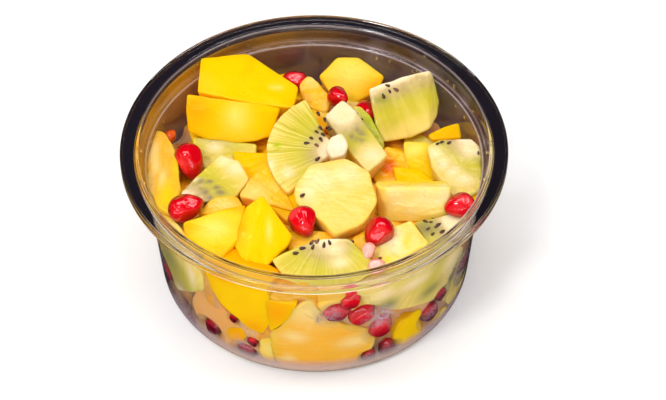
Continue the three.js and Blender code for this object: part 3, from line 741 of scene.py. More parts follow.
def new_fruit(kind, material, rows, seeds, finishes):
    """All pieces of one kind. rows, seeds and finishes go by where a piece lies: below and along the wall,
    which make one piece together, with those drawn for the back, and on top, where each is its own."""
    below, wall, top = rows
    wall = wall + [row for drawn, row in BACK_WALL if drawn == kind]
    skins = [laid(row, seeds[0] + i, **finishes[0]) for i, row in enumerate(below)]
    skins += [pressed(row, seeds[1] + i, **finishes[1]) for i, row in enumerate(wall)]
    new_piece(kind + "_below", skins, material, ["heap"])
    for i, (name, row) in enumerate(top.items()):
        new_piece(name + "_cut", [laid(row, seeds[2] + 5 * i, **finishes[2])], material, [name])


new_fruit("mango", mango_flesh(), (MANGO_BELOW, MANGO_ON_WALL, MANGO_ON_TOP), (40, 70, 100),
          ({}, dict(reach=0.21), {}))


# ---- Cut peach ----
# Ripe peach wedges and scraps, peeled: softer and more orange than the mango, pale where the flesh
# was pressed, with a red stain where it lay against the stone.

PEACH_ON_TOP = {
    "peach_wedge_centre": dict(
        at=(-15, -9.5, 41.5), roll=12, depth=11, pale=[(-3.5, -1.5, 5, 3.5)],
        face=[(-8, -3), (-4.5, 3.5), (0.5, 10), (5, 3), (9.5, -8.5), (0, -5.5)]),
    "peach_tip_left": dict(
        at=(-29, -17, 42), roll=15, depth=8, pale=[(2, 0, 4, 2)],
        face=[(-6, -3), (-1.5, 2.5), (6, 3.5), (8, -1), (-0.5, -3.5)]),
    "peach_wedge_back": dict(
        at=(-0.5, 33.5, 40), roll=20, depth=10, pale=[(-0.6, 4.5, 2.5, 2.5)],
        face=[(-5, 3.5), (-1.5, 7), (2, 3.5), (6, -1.5), (4, -7), (-2.5, -4.5)]),
    "peach_cube_right": dict(
        at=(24, 3.5, 38), roll=25, depth=9, stain=[(-1, -0.5, 2.6, 2.6)],
        face=[(-2, 6.5), (4, 4.5), (6.5, -6), (-5.5, -6), (-6.5, -1)]),
    "peach_chip_left": dict(
        at=(-39.5, -27.5, 40.5), roll=10, depth=8, pale=[(-2, 2, 5, 5)],
        face=[(-6.5, 7.5), (-2, 5.5), (3.5, -2), (6, -6), (-0.5, -3)]),
}
PEACH_BELOW = [
    dict(at=(-0.5, -30.5, 40), roll=15, depth=8,
        face=[(-8.5, 2.5), (-3.5, 5), (5.5, 3.5), (8, -1), (2, -4.5), (-6.5, -3.5)]),
    dict(at=(17, -33, 39.5), roll=15, depth=8,
        face=[(-6, 4.5), (-1, 7.5), (6, 4.5), (6, -4), (0, -7), (-4.5, -3.5)]),
    dict(at=(0.5, 25.5, 37), roll=15, depth=8,
        face=[(-6.5, 5), (4.5, 2), (7.5, -3), (0.5, -5), (-5, -1.5)]),
]
PEACH_ON_WALL = [
    on_wall([(-42.5, 28.5), (-37, 30), (-32.8, 24.5), (-29, 21.5), (-25.5, 18), (-24.8, 10.3), (-27, 4),
            (-35, 2), (-38.6, 3), (-37.8, 6.9), (-43, 8.3), (-47.2, 11.5), (-47.9, 17)], tone=0.0,
        pale=[(-5, 2, 4, 5), (2, -9, 3, 4)]),
    on_wall([(-19.8, 15), (-14.6, 18.5), (-13.5, 12), (-14.5, 4), (-19, 6)], pale=[(0, 0, 4, 5)]),
    on_wall([(0.5, 37.5), (12.5, 37.5), (10.5, 32.5), (4, 29.6)], pale=[(0, 0, 6, 4)]),
    on_wall([(48, 8.5), (55, 9), (58, 3), (48, 2.5)], pale=[(0, 0, 5, 4)]),
]


def peach_flesh():
    """Orange-yellow flesh with pale pressed patches, and a red stain where it lay against the stone. Flesh
    of the lowest tone has browned to beige."""
    material, tree, where, _, rim, tone, pale, stain = new_flesh("peach_flesh")
    patch = math(tree, "MULTIPLY", patches(tree, where, 0.009, cover=0.22, blur=0.24), tone)
    warm = patches(tree, where, 0.012, cover=0.25, blur=0.3, shift=(0.7, 0.1, 0.4))
    colour = layered(tree, (255, 192, 30), (warm, (255, 178, 4)),
                     (math(tree, "MULTIPLY", rim, 0.4), (255, 172, 30)),
                     (math(tree, "MAXIMUM", patch, pale), (255, 212, 112)),
                     (ranged(tree, tone, 0.2, 0.0, high=0.75), (222, 158, 106)), (stain, (246, 96, 0)))
    wet_surface(tree, relief(tree, where, {"Cell Share": 0.2}), 0.5, 0.0007, {
        "Base Color": colour, "Roughness": 0.2, "Subsurface Weight": 0.55,
        "Subsurface Radius": (1.0, 0.5, 0.2), "Subsurface Scale": 0.003, "Specular IOR Level": 0.35,
        "Specular Tint": (1.0, 0.85, 0.5, 1.0),
    })
    return material


PEACH_FINISH = dict(corner=1.6, rough=0.12)
new_fruit("peach", peach_flesh(), (PEACH_BELOW, PEACH_ON_WALL, PEACH_ON_TOP), (140, 150, 170),
          (PEACH_FINISH, dict(corner=3, reach=0.13), PEACH_FINISH))


# ---- Cut pineapple ----
# Peeled pineapple in chunks and bars: pale juicy flesh, torn along its fibres, with whitish blotches, partly
# painted highlights, and sides painted a warmer, brighter yellow that lifts their shade.

PINEAPPLE_ON_TOP = {
    "pineapple_chunk_centre": dict(
        at=(7, -18.5, 47), roll=15, depth=14, dome=0.5, tone=0.3,
        pale=[(-5.5, 6, 6, 5), (-9, 2, 3, 4), (3, 8, 5, 4)],
        face=[(-12, 5.5), (-8, 11), (2.5, 13.5), (9.5, 9), (12, -1), (8.5, -8.5), (-0.5, -13),
            (-7.5, -5.5), (-12, -2.5), (-13, 1.5)]),
    "pineapple_bar_right": dict(
        at=(29.5, -11.5, 45.2), roll=-27, depth=11, tone=0.0, stain=[(0, 3.5, 16, 5)],
        # Painted light: these pale marks lighten its front face, which lies in shade.
        pale=[(-5, -5, 3.5, 4, 7), (4, -5, 5, 4, 6)],
        face=[(-11.5, 3), (10.5, 3), (12, -3), (-8.5, -3.5), (-11, -1)]),
    "pineapple_wedge_front": dict(
        at=(24.5, -32.5, 41), roll=15, depth=10, tone=0.1, pale=[(-1, 1, 4.5, 4.5)],
        stain=[(3, 1, 1.2, 3), (-3, -5, 3, 2)],
        face=[(-2, 6.5), (4.5, 8.5), (9.5, 1), (0.5, -5), (-8.5, -9), (-7.5, -1.5)]),
    "pineapple_strip_left": dict(
        at=(-46, -4, 42.5), roll=0, head=90, depth=13, dome=0.6, tone=1.0,
        pale=[(8, 3.5, 5, 1.5), (2.5, 2.5, 4, 1.3), (-3, 0, 4, 1.3)],
        stain=[(8, -4, 12, 1.5), (-10, -2, 6, 3)],
        face=[(19, 5), (17.5, 0.5), (9, -3.5), (-6.5, -6), (-18, -3.5), (-13.5, 1), (-6.5, 4), (5, 6)]),
}
PINEAPPLE_BELOW = [
    dict(at=(-38, -13.5, 38), roll=15, depth=8,
        face=[(-4, 6.5), (2.5, 3), (6.5, -1.5), (1, -5), (-4.5, -2.5)]),
    dict(at=(13, 32, 34), roll=15, depth=8,
        face=[(-7.5, 4.5), (5, 3), (7.5, -4.5), (-2, -4.5), (-6.5, -1.5)]),
    dict(at=(39, -15.5, 37), roll=15, depth=8,
        face=[(-2.5, 5.5), (5.5, 1.5), (5.5, -3.5), (-2.5, -4), (-6, -0.5)]),
]
PINEAPPLE_ON_WALL = [
    on_wall([(-14.5, 21), (-10, 26), (-7, 34), (-1, 37.6), (3, 31.5), (6, 27), (12, 24.5), (19, 20),
            (22, 14), (20, 8.5), (12, 1.6), (-12, 1.6), (-14.5, 10)], tone=1.0,
        pale=[(-3, 13, 8, 7), (-8, 0, 4, 3), (10, -4, 5, 3)]),
]


def pineapple_flesh():
    """Pale yellow flesh with long fibres, whitish blotches that are partly painted highlights, and sides
    painted a warm, bright yellow that lifts their shade. Flesh of a high tone is riper.
    """
    material, tree, where, own, rim, tone, pale, stain = new_flesh("pineapple_flesh")
    drawn_out = vector(tree, "MULTIPLY", own, (0.16, 1.0, 0.35))
    fibres = place(tree, "TexNoise", {"Vector": drawn_out, "Scale": 1.1, "Detail": 4.0, "Distortion": 0.5})
    strands = ranged(tree, fibres, 0.3, 0.75)
    # Whitish blotches: random patches, and the pale marks, which are partly painted highlights.
    blotch = math(tree, "MAXIMUM", patches(tree, where, 0.012, blur=0.25), pale)
    light = layered(tree, (255, 212, 96), (strands, (255, 220, 116)), (blotch, (255, 228, 168)))
    ripe = layered(tree, (250, 176, 42), (strands, (253, 190, 66)), (blotch, (253, 212, 132)))
    height = place(tree, "SeparateXYZ", {0: own}).outputs["Z"]
    depth = ranged(tree, height, -1.0, -9.0, ease="SMOOTHSTEP")
    # Painted light: down the sides a brighter, saturated yellow lifts their shade, less where pale marks lie.
    side = math(tree, "MULTIPLY", depth, ranged(tree, tone, low=0.25, high=0.7))
    side = math(tree, "MULTIPLY", side, math(tree, "SUBTRACT", 1.0, pale))
    colour = layered(tree, light, (tone, ripe), (side, (255, 210, 70)),
                     (math(tree, "MULTIPLY", rim, 0.3), (255, 206, 60)), (stain, (255, 206, 16)))
    torn = math(tree, "ADD", relief(tree, where, {"Cell Share": 0.25}), fibres)
    wet_surface(tree, torn, 0.35, 0.0006, {
        "Base Color": colour, "Roughness": 0.2, "Subsurface Weight": 0.6,
        "Subsurface Radius": (1.0, 0.7, 0.3), "Subsurface Scale": 0.0035, "Specular IOR Level": 0.4,
    })
    return material


new_fruit("pineapple", pineapple_flesh(), (PINEAPPLE_BELOW, PINEAPPLE_ON_WALL, PINEAPPLE_ON_TOP),
          (200, 210, 230),
          (dict(rough=0.15), dict(rough=0.2, corner=2, reach=0.17), dict(rough=0.15, corner=1.4)))


# ---- Cut kiwi ----
# Peeled kiwi in slices, strips and blocks. Each is cut from a round fruit about 40 mm across: a cream
# core, a ring of small dark seeds in grey-green jelly, then green flesh with rays out to the rind.


def sector(core, radius, first, final):
    """Outline of a wedge of a round slice: its point at the core, then the arc of the peeled side."""
    angle = np.radians(np.linspace(first, final, int((final - first) / 8)))
    rim = np.column_stack([core[0] + radius * np.cos(angle), core[1] + radius * np.sin(angle)])
    return [core, *rim.tolist()]


# axis is where the kiwi's axis stands on each face, or, with a heading, where it lies in the face. seeds
# are the places of those that the knife has bared.
# The pale marks are partly painted highlights, whitish glints on the cut faces.
KIWI_ON_TOP = {
    "kiwi_core_lump": dict(
        at=(7, 1, 49), roll=12, depth=5, tone=0.0,
        face=[(-3.5, -0.5), (-2, 3.5), (1.5, 5), (3.5, 0.5), (2, -3.5), (-2, -4.5)]),
    "kiwi_slice_centre": dict(
        at=(-3.5, 4, 46), roll=12, depth=13, axis=(9.8, -1.5), tone=1.0,
        pale=[(-4.4, -9.6, 2, 2), (-9.9, -7, 1.5, 2)], stain=[(-7.9, 0.2, 1.3, 1.3)],
        seeds=[(4.7, 11.7), (6.7, 9.5), (8, 6.2), (5.4, 6.3), (4.2, 5), (6.2, 4), (2.7, 2.5), (5.5, 2.2),
            (1.2, 0.9), (4.3, 0), (4.6, -4.8)], face=sector((9.8, -1.5), 21, 116, 228)),
    "kiwi_strip_centre": dict(
        at=(13, 9, 45), roll=10, depth=9, axis=(-4.5, 9.5), tone=0.2,
        pale=[(-4.2, 8.5, 4, 5), (4.5, -7, 4, 4)],
        stain=[(0.2, 2.6, 1, 1), (-1.6, 0, 1, 1.2), (1.6, 1.2, 1.6, 1), (0.6, -1.2, 2, 1)],
        face=[(-10, 8), (-4.5, 14.5), (0, 10), (9.5, -7), (3.5, -13.5), (-2.5, -5.5)]),
    "kiwi_block_back": dict(
        at=(28.4, 23.6, 44), roll=40, depth=14, axis=(-11, 9, 20), tone=0.5, folds=[(7.5, 0, -90, 40)],
        stain=[(-7.5, 2, 2.5, 1)], seeds=[(-5.5, 6.5), (-4.9, 4.8), (-2.9, 5.2), (-6.8, 3.2)],
        face=[(-11.5, 5.5), (-1.5, 9), (8, 11.5), (9, 9.5), (11, 2), (10.5, -2), (8, -7), (2, -10),
            (-7, -11.5), (-8.5, -8.5), (-10, -3)]),
    "kiwi_half_front": dict(
        at=(2.5, -39.5, 42), roll=42, depth=12, axis=(1, 9), tone=0.6,
        pale=[(5.2, -0.2, 3, 2), (3.8, 3.3, 3, 2), (-2, 6.3, 7, 1)],
        seeds=[(-7.5, 2.4), (-5.6, 3.8), (-3, 5.5), (-2.6, 4.2), (-1.3, 5.9), (0.6, 4.8), (2.2, 5.5)],
        face=[*sector((1, 9), 18, 208, 326)[1:], (8, 6.5), (-0.5, 6.5), (-8.5, 3.5)]),
    "kiwi_block_right": dict(
        at=(43.5, 0.5, 42), roll=15, depth=13, axis=(4.5, 11), tone=0.2,
        pale=[(-6.5, 3.5, 2.6, 2.8), (-4, 0, 2.6, 3), (-1, -3, 2.6, 2.6), (2, -5.5, 3, 2),
            (4.5, 4.5, 3.5, 2.5)], seeds=[(-5.5, 6.8), (-4.2, 7.4), (-1.9, 7.2), (6.9, 3.5)],
        face=[(-9, 6.5), (-4.8, 8.5), (5.1, 8.8), (9, 3.5), (9.5, -3.2), (7.1, -9.4), (3.7, -11.5),
            (-1.8, -11.5), (-7.5, -2)]),
    "kiwi_wedge_right": dict(
        at=(38, -23.5, 39), roll=10, depth=10, axis=(5.5, 2.7), tone=0.3, pale=[(5, 2, 4, 4)],
        stain=[(-5, -0.5, 4, 3)],
        seeds=[(-4.7, 2.2), (-2.9, 1.9), (-0.8, 1.1), (-4, -0.5), (0.2, -1.4), (-2.7, -2.3), (-1.5, 0.3)],
        face=[(-8, 2), (-0.5, 4), (5, 5.5), (8.5, 2), (2, -4), (-4, -6.5)]),
    "kiwi_block_left": dict(
        at=(-30, -6.5, 42.5), roll=10, depth=11, axis=(-9.5, -9), tone=0.1,
        pale=[(2.7, 6.7, 2.5, 2), (6, 3.7, 3, 2.5), (-6, -0.5, 1.5, 0.8)],
        stain=[(-4.3, -1.2, 1, 1), (-1.6, -1.3, 1, 0.8), (-2.8, -4.8, 0.9, 1), (0.6, -3.5, 1.2, 0.8),
            (-1.3, -6.9, 0.8, 0.8), (1.8, -5.2, 1.4, 1)],
        face=[(-10.5, -5.5), (-4, 3), (1.5, 9), (7, 6.5), (10.5, 0), (6.5, -6.5), (-2.5, -8.5),
            (-8, -8.5)]),
    "kiwi_piece_left": dict(
        at=(-27.5, 9, 38), roll=20, depth=10, axis=(-2, 13), tone=0.0, pale=[(-3.6, 1.9, 2.5, 2)],
        face=[(-11, 5.5), (9.5, 3), (9, -7), (4.5, -5.5), (-1, -3.5), (-6.5, -6), (-10, 0)]),
    "kiwi_piece_back": dict(
        # Painted shade: its stain mark covers the whole piece.
        at=(18, 17, 41), roll=25, depth=9, axis=(14, 9), tone=0.9, stain=[(0, 0, 9, 12)],
        face=[(-6.5, 7.5), (-4, 7.5), (-1.3, 4.9), (1.2, 0.9), (4, -6), (2, -9.5)]),
}
KIWI_BELOW = [
    dict(at=(32, 17.5, 35), roll=20, depth=8, axis=(12, 6), tone=0.3,
        face=[(-3.5, 4), (6.5, 0), (3.5, -3.5), (-4, -3.5)]),
]
KIWI_ON_WALL = [
    # Painted shade: the stain mark on this piece darkens it.
    on_wall([(-70, 20), (-66, 38), (-47, 40), (-39.5, 36), (-40, 28), (-47, 22), (-58, 14)],
        axis=(0, -15), tone=0.35, stain=[(-6, 0, 9, 9)], pale=[(6, 3, 2, 7)]),
    on_wall([(14, 38), (27, 38.5), (40, 37), (55, 38), (62, 30), (58, 19.5), (48, 18), (38.6, 22),
            (29, 25.5), (19, 32)], axis=(6, 16), tone=0.4, stain=[(-12, 0, 3.5, 3), (4, -4, 5, 3)],
        pale=[(14, 2, 6, 6), (-3, 5, 7, 3), (-14, 6, 4, 3)]),
    on_wall([(54.4, 24), (60, 30), (67, 24), (74, 14), (70, 7), (58, 6), (52, 14)], axis=(-5, 14),
        tone=0.5),
]
KIWI_WALL_AXIS = (11, 9)
KIWI_REACH = 24.0
RAY_SPREAD = (21.0, 21.0, 21.0)

# The kiwi's colour by distance from its axis.
KIWI_RINGS = (
    (0.0, (255, 230, 206)), (4.0, (254, 224, 182)), (5.4, (212, 188, 132)), (7.5, (196, 172, 104)),
    (9.5, (200, 184, 76)), (12.0, (208, 192, 58)), (15.5, (216, 196, 70)), (18.0, (230, 204, 96)),
    (20.5, (242, 212, 114)),
)


def kiwi_rings(tree, reach):
    """The colour at a distance from the axis."""
    ring = place(tree, "ValToRGB", {0: ranged(tree, reach, end=KIWI_REACH)})
    stops = ring.color_ramp.elements
    stops[1].position = KIWI_RINGS[-1][0] / KIWI_REACH
    for distance, _ in KIWI_RINGS[1:-1]:
        stops.new(distance / KIWI_REACH)
    for stop, (_, colour) in zip(stops, KIWI_RINGS):
        stop.color = screen(*colour)
    return ring


def kiwi_flesh():
    """Cream core, grey-green jelly, then green flesh with pale rays, by distance from the kiwi's axis. The
    lower the tone, the weaker the rays and the plainer the seeds sunk in the jelly."""
    material, tree, where, own, _, tone, pale, stain = new_flesh("kiwi_flesh")
    across = vector(tree, "MULTIPLY", own, (1.0, 1.0, 0.0))
    uneven = place(tree, "TexNoise", {"Vector": own, "Scale": 0.3, "Detail": 1.0})
    reach = math(tree, "ADD", vector(tree, "LENGTH", across).outputs["Value"],
                 ranged(tree, uneven, low=-1.6, high=1.6))
    spread = vector(tree, "MULTIPLY", vector(tree, "NORMALIZE", across), RAY_SPREAD)
    drift = vector(tree, "MULTIPLY", own, (0.03, 0.03, 0.3))
    ray_at = vector(tree, "ADD", spread, drift)
    rays = place(tree, "TexNoise", {"Vector": ray_at, "Scale": 1.0, "Detail": 3.0})
    outer = math(tree, "MULTIPLY", ranged(tree, reach, 3.5, 7.0, high=0.8), tone)
    bright = math(tree, "MULTIPLY", ranged(tree, rays, 0.5, 0.72), outer)
    deep = math(tree, "MULTIPLY", ranged(tree, rays, 0.48, 0.3), outer)
    seeds = place(tree, "TexVoronoi", {"Vector": own, "Scale": 0.42})
    jelly = math(tree, "MULTIPLY", ranged(tree, reach, 4.2, 5.6), ranged(tree, reach, 10.4, 8.8))
    sunk = math(tree, "MULTIPLY", ranged(tree, seeds, 0.42, 0.2, high=0.3), jelly)
    sunk = math(tree, "MULTIPLY", sunk, math(tree, "SUBTRACT", 1.0, tone))
    # spot colours the stain marks: the flesh's own darker marks, and painted shade where a mark covers a
    # whole piece.
    spot = layered(tree, (138, 118, 104), (tone, (186, 190, 0)))
    # The pale marks are partly painted highlights.
    colour = layered(tree, kiwi_rings(tree, reach), (bright, (246, 226, 132)), (deep, (184, 172, 28)),
                     (sunk, (150, 122, 82)), (pale, (252, 226, 172)), (stain, spot))
    cut = relief(tree, where, {"Swell Size": 0.003, "Cell Size": 0.0009, "Cell Share": 0.35})
    cut = math(tree, "ADD", cut, math(tree, "MULTIPLY", rays, outer))
    torn = math(tree, "MULTIPLY", cut, ranged(tree, pale, low=0.4, high=1.3))
    wet_surface(tree, torn, 0.5, 0.0006, {
        "Base Color": colour, "Roughness": 0.24, "Subsurface Weight": 0.6,
        "Subsurface Radius": (0.9, 0.8, 0.35), "Subsurface Scale": 0.0035, "Specular IOR Level": 0.35,
        "Specular Tint": (1.0, 0.93, 0.7, 1.0),
    })
    return material


new_fruit("kiwi", kiwi_flesh(), (KIWI_BELOW, KIWI_ON_WALL, KIWI_ON_TOP), (260, 270, 300),
          ({}, dict(axis=KIWI_WALL_AXIS, corner=2, reach=0.09), dict(rough=0.1)))


# ---- Kiwi seeds ----
# Small dark drops in a ring round each core, pointing at it. Those at the cut faces show, half sunk
# in the jelly, and the knife has cut through some.

# A seed's length, width and height, and the distances from the axis between which seeds lie.
SEED_SIZE = (2.1, 1.15, 0.8)
SEED_RING = (4.6, 9.6)
SEED_LEVEL = -0.05
SEED_LAYER = 1.9
SEED_SCALE = (0.78, 1.05)
SEED_HALF_WIDTH = 0.45
SEED_SHARE = 0.72
SEED_TILT = 0.3
SEED_COUNT = 26
SEED_TOP = 1.6
SEED_CORNER = 1.8
SEED_JITTER = (0.8, 0.2, 0.5)
DROP_TAPER = 0.35
UP = np.array([0, 0, 1.0])


def inside_by(points, outline):
    """How far points lie inside a closed outline, negative outside: the least distance to its sides, with
    the sign from how often a line to the right crosses them."""
    a, b = outline, np.roll(outline, -1, 0)
    side = b - a
    t = np.clip(((points[:, None] - a) * side).sum(-1) / (side**2).sum(-1), 0, 1)
    near = np.linalg.norm(points[:, None] - (a + t[..., None] * side), axis=-1).min(1)
    x, y = points[:, :1], points[:, 1:]
    spans = (a[:, 1] > y) != (b[:, 1] > y)
    crossing = a[:, 0] + (y - a[:, 1]) * side[:, 0] / np.where(side[:, 1] == 0, 1e-9, side[:, 1])
    return np.where((spans & (x < crossing)).sum(1) % 2 == 1, near, -near)


def drops(places, along, up, size, scale=1.0, sides=6, rings=5):
    """Skins' points of many drops at once, as an array [drop, ring, side, xyz]: a ball drawn out along one
    axis, narrower towards the front, of a size times each drop's scale."""
    v = np.linspace(0.08, np.pi - 0.08, rings)
    u = np.arange(sides) * 2 * np.pi / sides
    front = np.cos(v)[:, None] + 0 * u
    girth = np.sin(v)[:, None] * (1 - DROP_TAPER * np.cos(v)[:, None])
    local = np.stack([front, girth * np.sin(u), girth * np.cos(u)], -1) * np.array(size) / 2
    frames = np.stack([along, np.cross(up, along), up], -1)
    placed = np.einsum("nij,rsj->nrsi", frames, local)
    return placed * np.reshape(scale, (-1, 1, 1, 1)) + places[:, None, None]


def lengthened(rows):
    """Each row as a vector of length one."""
    return rows / np.linalg.norm(rows, axis=1, keepdims=True)


def seeds_of(row, seed):
    """Grids of the seeds of one kiwi piece: those bared on its upper face, and at its sides those of a
    jittered lattice round the axis, in layers down its depth, that lie within a seed's half width. A piece
    whose axis lies in its face has only bared ones."""
    draw = np.random.default_rng(seed)
    core, depth = np.array(row["axis"][:2], float), row["depth"]
    radius, angle = np.linspace(*SEED_RING, 4), np.arange(SEED_COUNT) * 2 * np.pi / SEED_COUNT
    level = -np.arange(SEED_TOP, depth - 0.5, SEED_LAYER)
    r, a, z = (value.ravel() for value in np.meshgrid(radius, angle, level, indexing="ij"))
    r, a, z = (value + draw.uniform(-by, by, z.shape) for value, by in zip((r, a, z), SEED_JITTER))
    flat = core + r[:, None] * np.column_stack([np.cos(a), np.sin(a)])
    outline = softened(np.array(row["face"], float), SEED_CORNER)
    inside = inside_by(flat / (1 + NARROWING * z / depth)[:, None], outline)
    at_side = (inside > 0) & (inside < SEED_HALF_WIDTH) & (draw.uniform(size=len(z)) < SEED_SHARE)
    keep = at_side & (len(row["axis"]) == 2)
    bared = np.array(row.get("seeds", []), float).reshape(-1, 2)
    flat = np.vstack([bared, flat[keep]])
    spots = np.column_stack([flat, np.concatenate([np.full(len(bared), SEED_LEVEL), z[keep]])])
    along = lengthened(np.column_stack([core - flat, 0 * flat[:, 0]]))
    along = lengthened(along + SEED_TILT * draw.normal(size=along.shape) * np.array([1, 1, 0.3]))
    up = np.cross(along, lengthened(np.cross(UP, along)))
    grids = drops(spots, along, up, SEED_SIZE, draw.uniform(*SEED_SCALE, len(spots)))
    return grids @ lie_of(row).T + np.array(row["at"], float)


def seed_shell():
    """Glossy dark brown seed, a little lighter here and there."""
    material, tree, where = new_material("seed_shell")
    colour = layered(tree, (72, 40, 26), (patches(tree, where, 0.004), (126, 84, 54)))
    shell = place(tree, "BsdfPrincipled", {"Base Color": colour, "Roughness": 0.3})
    place(tree, "OutputMaterial", {"Surface": shell})
    return material


seed_grids = np.concatenate([
    seeds_of(row, 400 + i) for i, (name, row) in enumerate(KIWI_ON_TOP.items()) if name != "kiwi_core_lump"
])
SEED_SHELL = seed_shell()
new_piece("kiwi_seeds", [skin(grid) for grid in kept_inside(seed_grids)], SEED_SHELL)


# ---- Pineapple pips ----
# A few small brown pips that the peeling has left in the outer flesh.

PIPS = {"pineapple_chunk_centre": (-10.3, 0.3), "pineapple_wedge_front": (-5.1, -4.3)}
PIP_SIZE = (1.9, 1.1, 0.9)
PIP_WAY = np.array([[0.8, 0.6, 0.0]])
pip_grids = []
for name, spot in PIPS.items():
    row = PINEAPPLE_ON_TOP[name]
    grid = drops(np.array([(*spot, row.get("dome", 0))]), PIP_WAY, UP[None], PIP_SIZE)
    pip_grids.append(grid @ lie_of(row).T + np.array(row["at"], float))
new_piece("pineapple_pips", [skin(grid) for grid in np.concatenate(pip_grids)], SEED_SHELL)


# ---- Pomegranate arils ----
# Seeds in a coat of clear red juice, packed tight in the fruit so that each has a few soft flats.
# They are firm and very glossy. Their colour holds painted light: bright red patches as painted highlights,
# and maroon below and at the edges as painted shade.

ARILS_ON_TOP = {
    "aril_front": dict(at=(19, -29, 43), point=(225, -20), size=(9.6, 8.2)),
    "aril_centre": dict(at=(-3, -25, 43), point=(288, -10), size=(9.6, 8.6)),
    "aril_left_low": dict(at=(-38, -19.5, 43.5), point=(20, 10), size=(10.8, 8.2)),
    "aril_left_high": dict(at=(-38.5, 3, 40), point=(290, -35), size=(11.6, 8.8)),
    "aril_right": dict(at=(43.5, -17, 41.5), point=(200, 0), size=(9.4, 7.6)),
    "aril_back": dict(at=(7.5, 30.5, 41.5), point=(310, 20), size=(7.6, 6.4)),
    "aril_back_wall": dict(at=(-6.7, 43.5, 37), point=(160, 0), size=(8.2, 6)),
    "aril_behind_kiwi": dict(at=(16, 28, 37), point=(100, 10), size=(9, 7.4)),
    "aril_left_sliver": dict(at=(-45.4, 15, 39), point=(60, 20), size=(5, 4)),
}
PALE_ARILS = {
    "aril_pale_front": dict(at=(16, -36.5, 43), point=(250, -30), size=(5.4, 4)),
    "aril_pale_low": dict(at=(18.4, -41, 42), point=(20, 0), size=(5.2, 4)),
}
WALL_ARIL_SIZE = np.array([9.5, 8.0])
ARIL_PRESS = 0.6
WALL_ARIL_REACH = 0.24
ARIL_FLATS = 6
ARIL_FLAT_STEP = 1.05
ARIL_ROWS, ARIL_SIDES = 30, 40
ARIL_SWELL = 1.02
ARIL_TAPER, ARIL_BELLY = 0.24, 0.08


def aril(at, turn, size, seed, dusk=0.0, reach=WALL_REACH):
    """Skin of an aril: a ball drawn out along +X, narrower to the front, pressed in by soft flats. A flat
    pulls the points that face it back to its plane, with a rounded edge. The trait shade is painted shade:
    it grows towards the underside, and by dusk all over."""
    draw = np.random.default_rng(seed)
    v = np.linspace(0.06, np.pi - 0.06, ARIL_ROWS)[:, None]
    u = (np.arange(ARIL_SIDES) * 2 * np.pi / ARIL_SIDES)[None]
    ball = np.stack([np.cos(v) + 0 * u, np.sin(v) * np.cos(u), np.sin(v) * np.sin(u)], -1)
    a = np.arange(ARIL_FLATS) * ARIL_FLAT_STEP
    way = lengthened(np.column_stack([draw.uniform(-0.5, 0.5, ARIL_FLATS), np.cos(a), np.sin(a)]))
    over = np.maximum(ball @ way.T - draw.uniform(0.8, 0.9, ARIL_FLATS), 0)
    ball = ball - 0.9 * (over[..., None] * way).sum(-2)
    front = ball[..., :1]
    girth = size[1] / 2 * (1 - ARIL_TAPER * front - ARIL_BELLY * front**2)
    local = np.concatenate([size[0] / 2 * front, girth * ball[..., 1:]], -1) * ARIL_SWELL
    shade = np.clip(0.3 + dusk - 0.9 * (ball @ turn.T)[..., 2:], 0, 1)
    return skin(kept_inside(local @ turn.T + np.array(at, float), reach), shade=shade)


def aril_coat(name, red, bright, dark, weight):
    """Clear red juice in a tight glossy skin, with painted light: bright patches are painted highlights, and
    it is painted deeper below and at the edges as shade, where the juice is also seen at its thickest."""
    material, tree, where = new_material(name)
    # Painted shade: deeper maroon towards the underside, by the trait shade, and at the edges, where the
    # juice is also seen at its thickest.
    facing = place(tree, "LayerWeight", {"Blend": 0.35}).outputs["Facing"]
    deep = math(tree, "MAXIMUM", trait(tree, "shade"), ranged(tree, facing, 0.15, 0.75, high=0.85))
    # Painted highlights: bright patches at random.
    colour = layered(tree, red, (patches(tree, where, 0.005, blur=0.2), bright), (deep, dark))
    sizes = {"Swell Size": 0.0035, "Cell Size": 0.002, "Cell Share": 0.2, "Bead Share": 0.05}
    wet_surface(tree, relief(tree, where, sizes), 0.5, 0.0009, {
        "Base Color": colour, "Roughness": 0.12, "Subsurface Weight": weight,
        "Subsurface Radius": (1.0, 0.08, 0.08), "Subsurface Scale": 0.002, "Specular IOR Level": 0.8,
        "Specular Tint": (1.0, 0.82, 0.86, 1.0),
    })
    return material


ARIL_RED = aril_coat("aril_coat", (222, 0, 20), (255, 60, 62), (100, 0, 20), 0.3)
ARIL_PALE = aril_coat("aril_coat_pale", (250, 190, 172), (255, 236, 230), (232, 92, 62), 0.6)
ARIL_ORANGE = aril_coat("aril_coat_orange", (224, 84, 22), (238, 120, 50), (150, 44, 16), 0.3)
coats = dict.fromkeys(ARILS_ON_TOP, ARIL_RED) | dict.fromkeys(PALE_ARILS, ARIL_PALE)
coats["aril_left_sliver"] = ARIL_ORANGE
for i, (name, row) in enumerate({**ARILS_ON_TOP, **PALE_ARILS}.items()):
    heading, rise = row["point"]
    on_top = aril(row["at"], spun(2, heading) @ spun(1, -rise), row["size"], 500 + i)
    new_piece(name + "_coat", [on_top], coats[name], [name])
wall_aril_skins = []
# Each wall aril is darkened all over by its dusk, as painted shade.
for i, (angle, height, share, dusk) in enumerate(WALL_ARILS):
    at, turn = against_wall(angle, height, angle * 3)
    size = WALL_ARIL_SIZE * share
    at = at - turn[:, 2] * (size[1] / 2 - ARIL_PRESS)
    wall_aril_skins.append(aril(at, turn, size, 550 + i, dusk, WALL_ARIL_REACH))
new_piece("arils_below", wall_aril_skins, ARIL_RED, ["heap"])


# ---- The film on the wall ----
# Juice and condensed water on the inside of the plastic: fine pale droplets in a few places, and beige juice
# that stands at the foot. Above the salad, golden and brown patches are a painted reflection of the fruit.

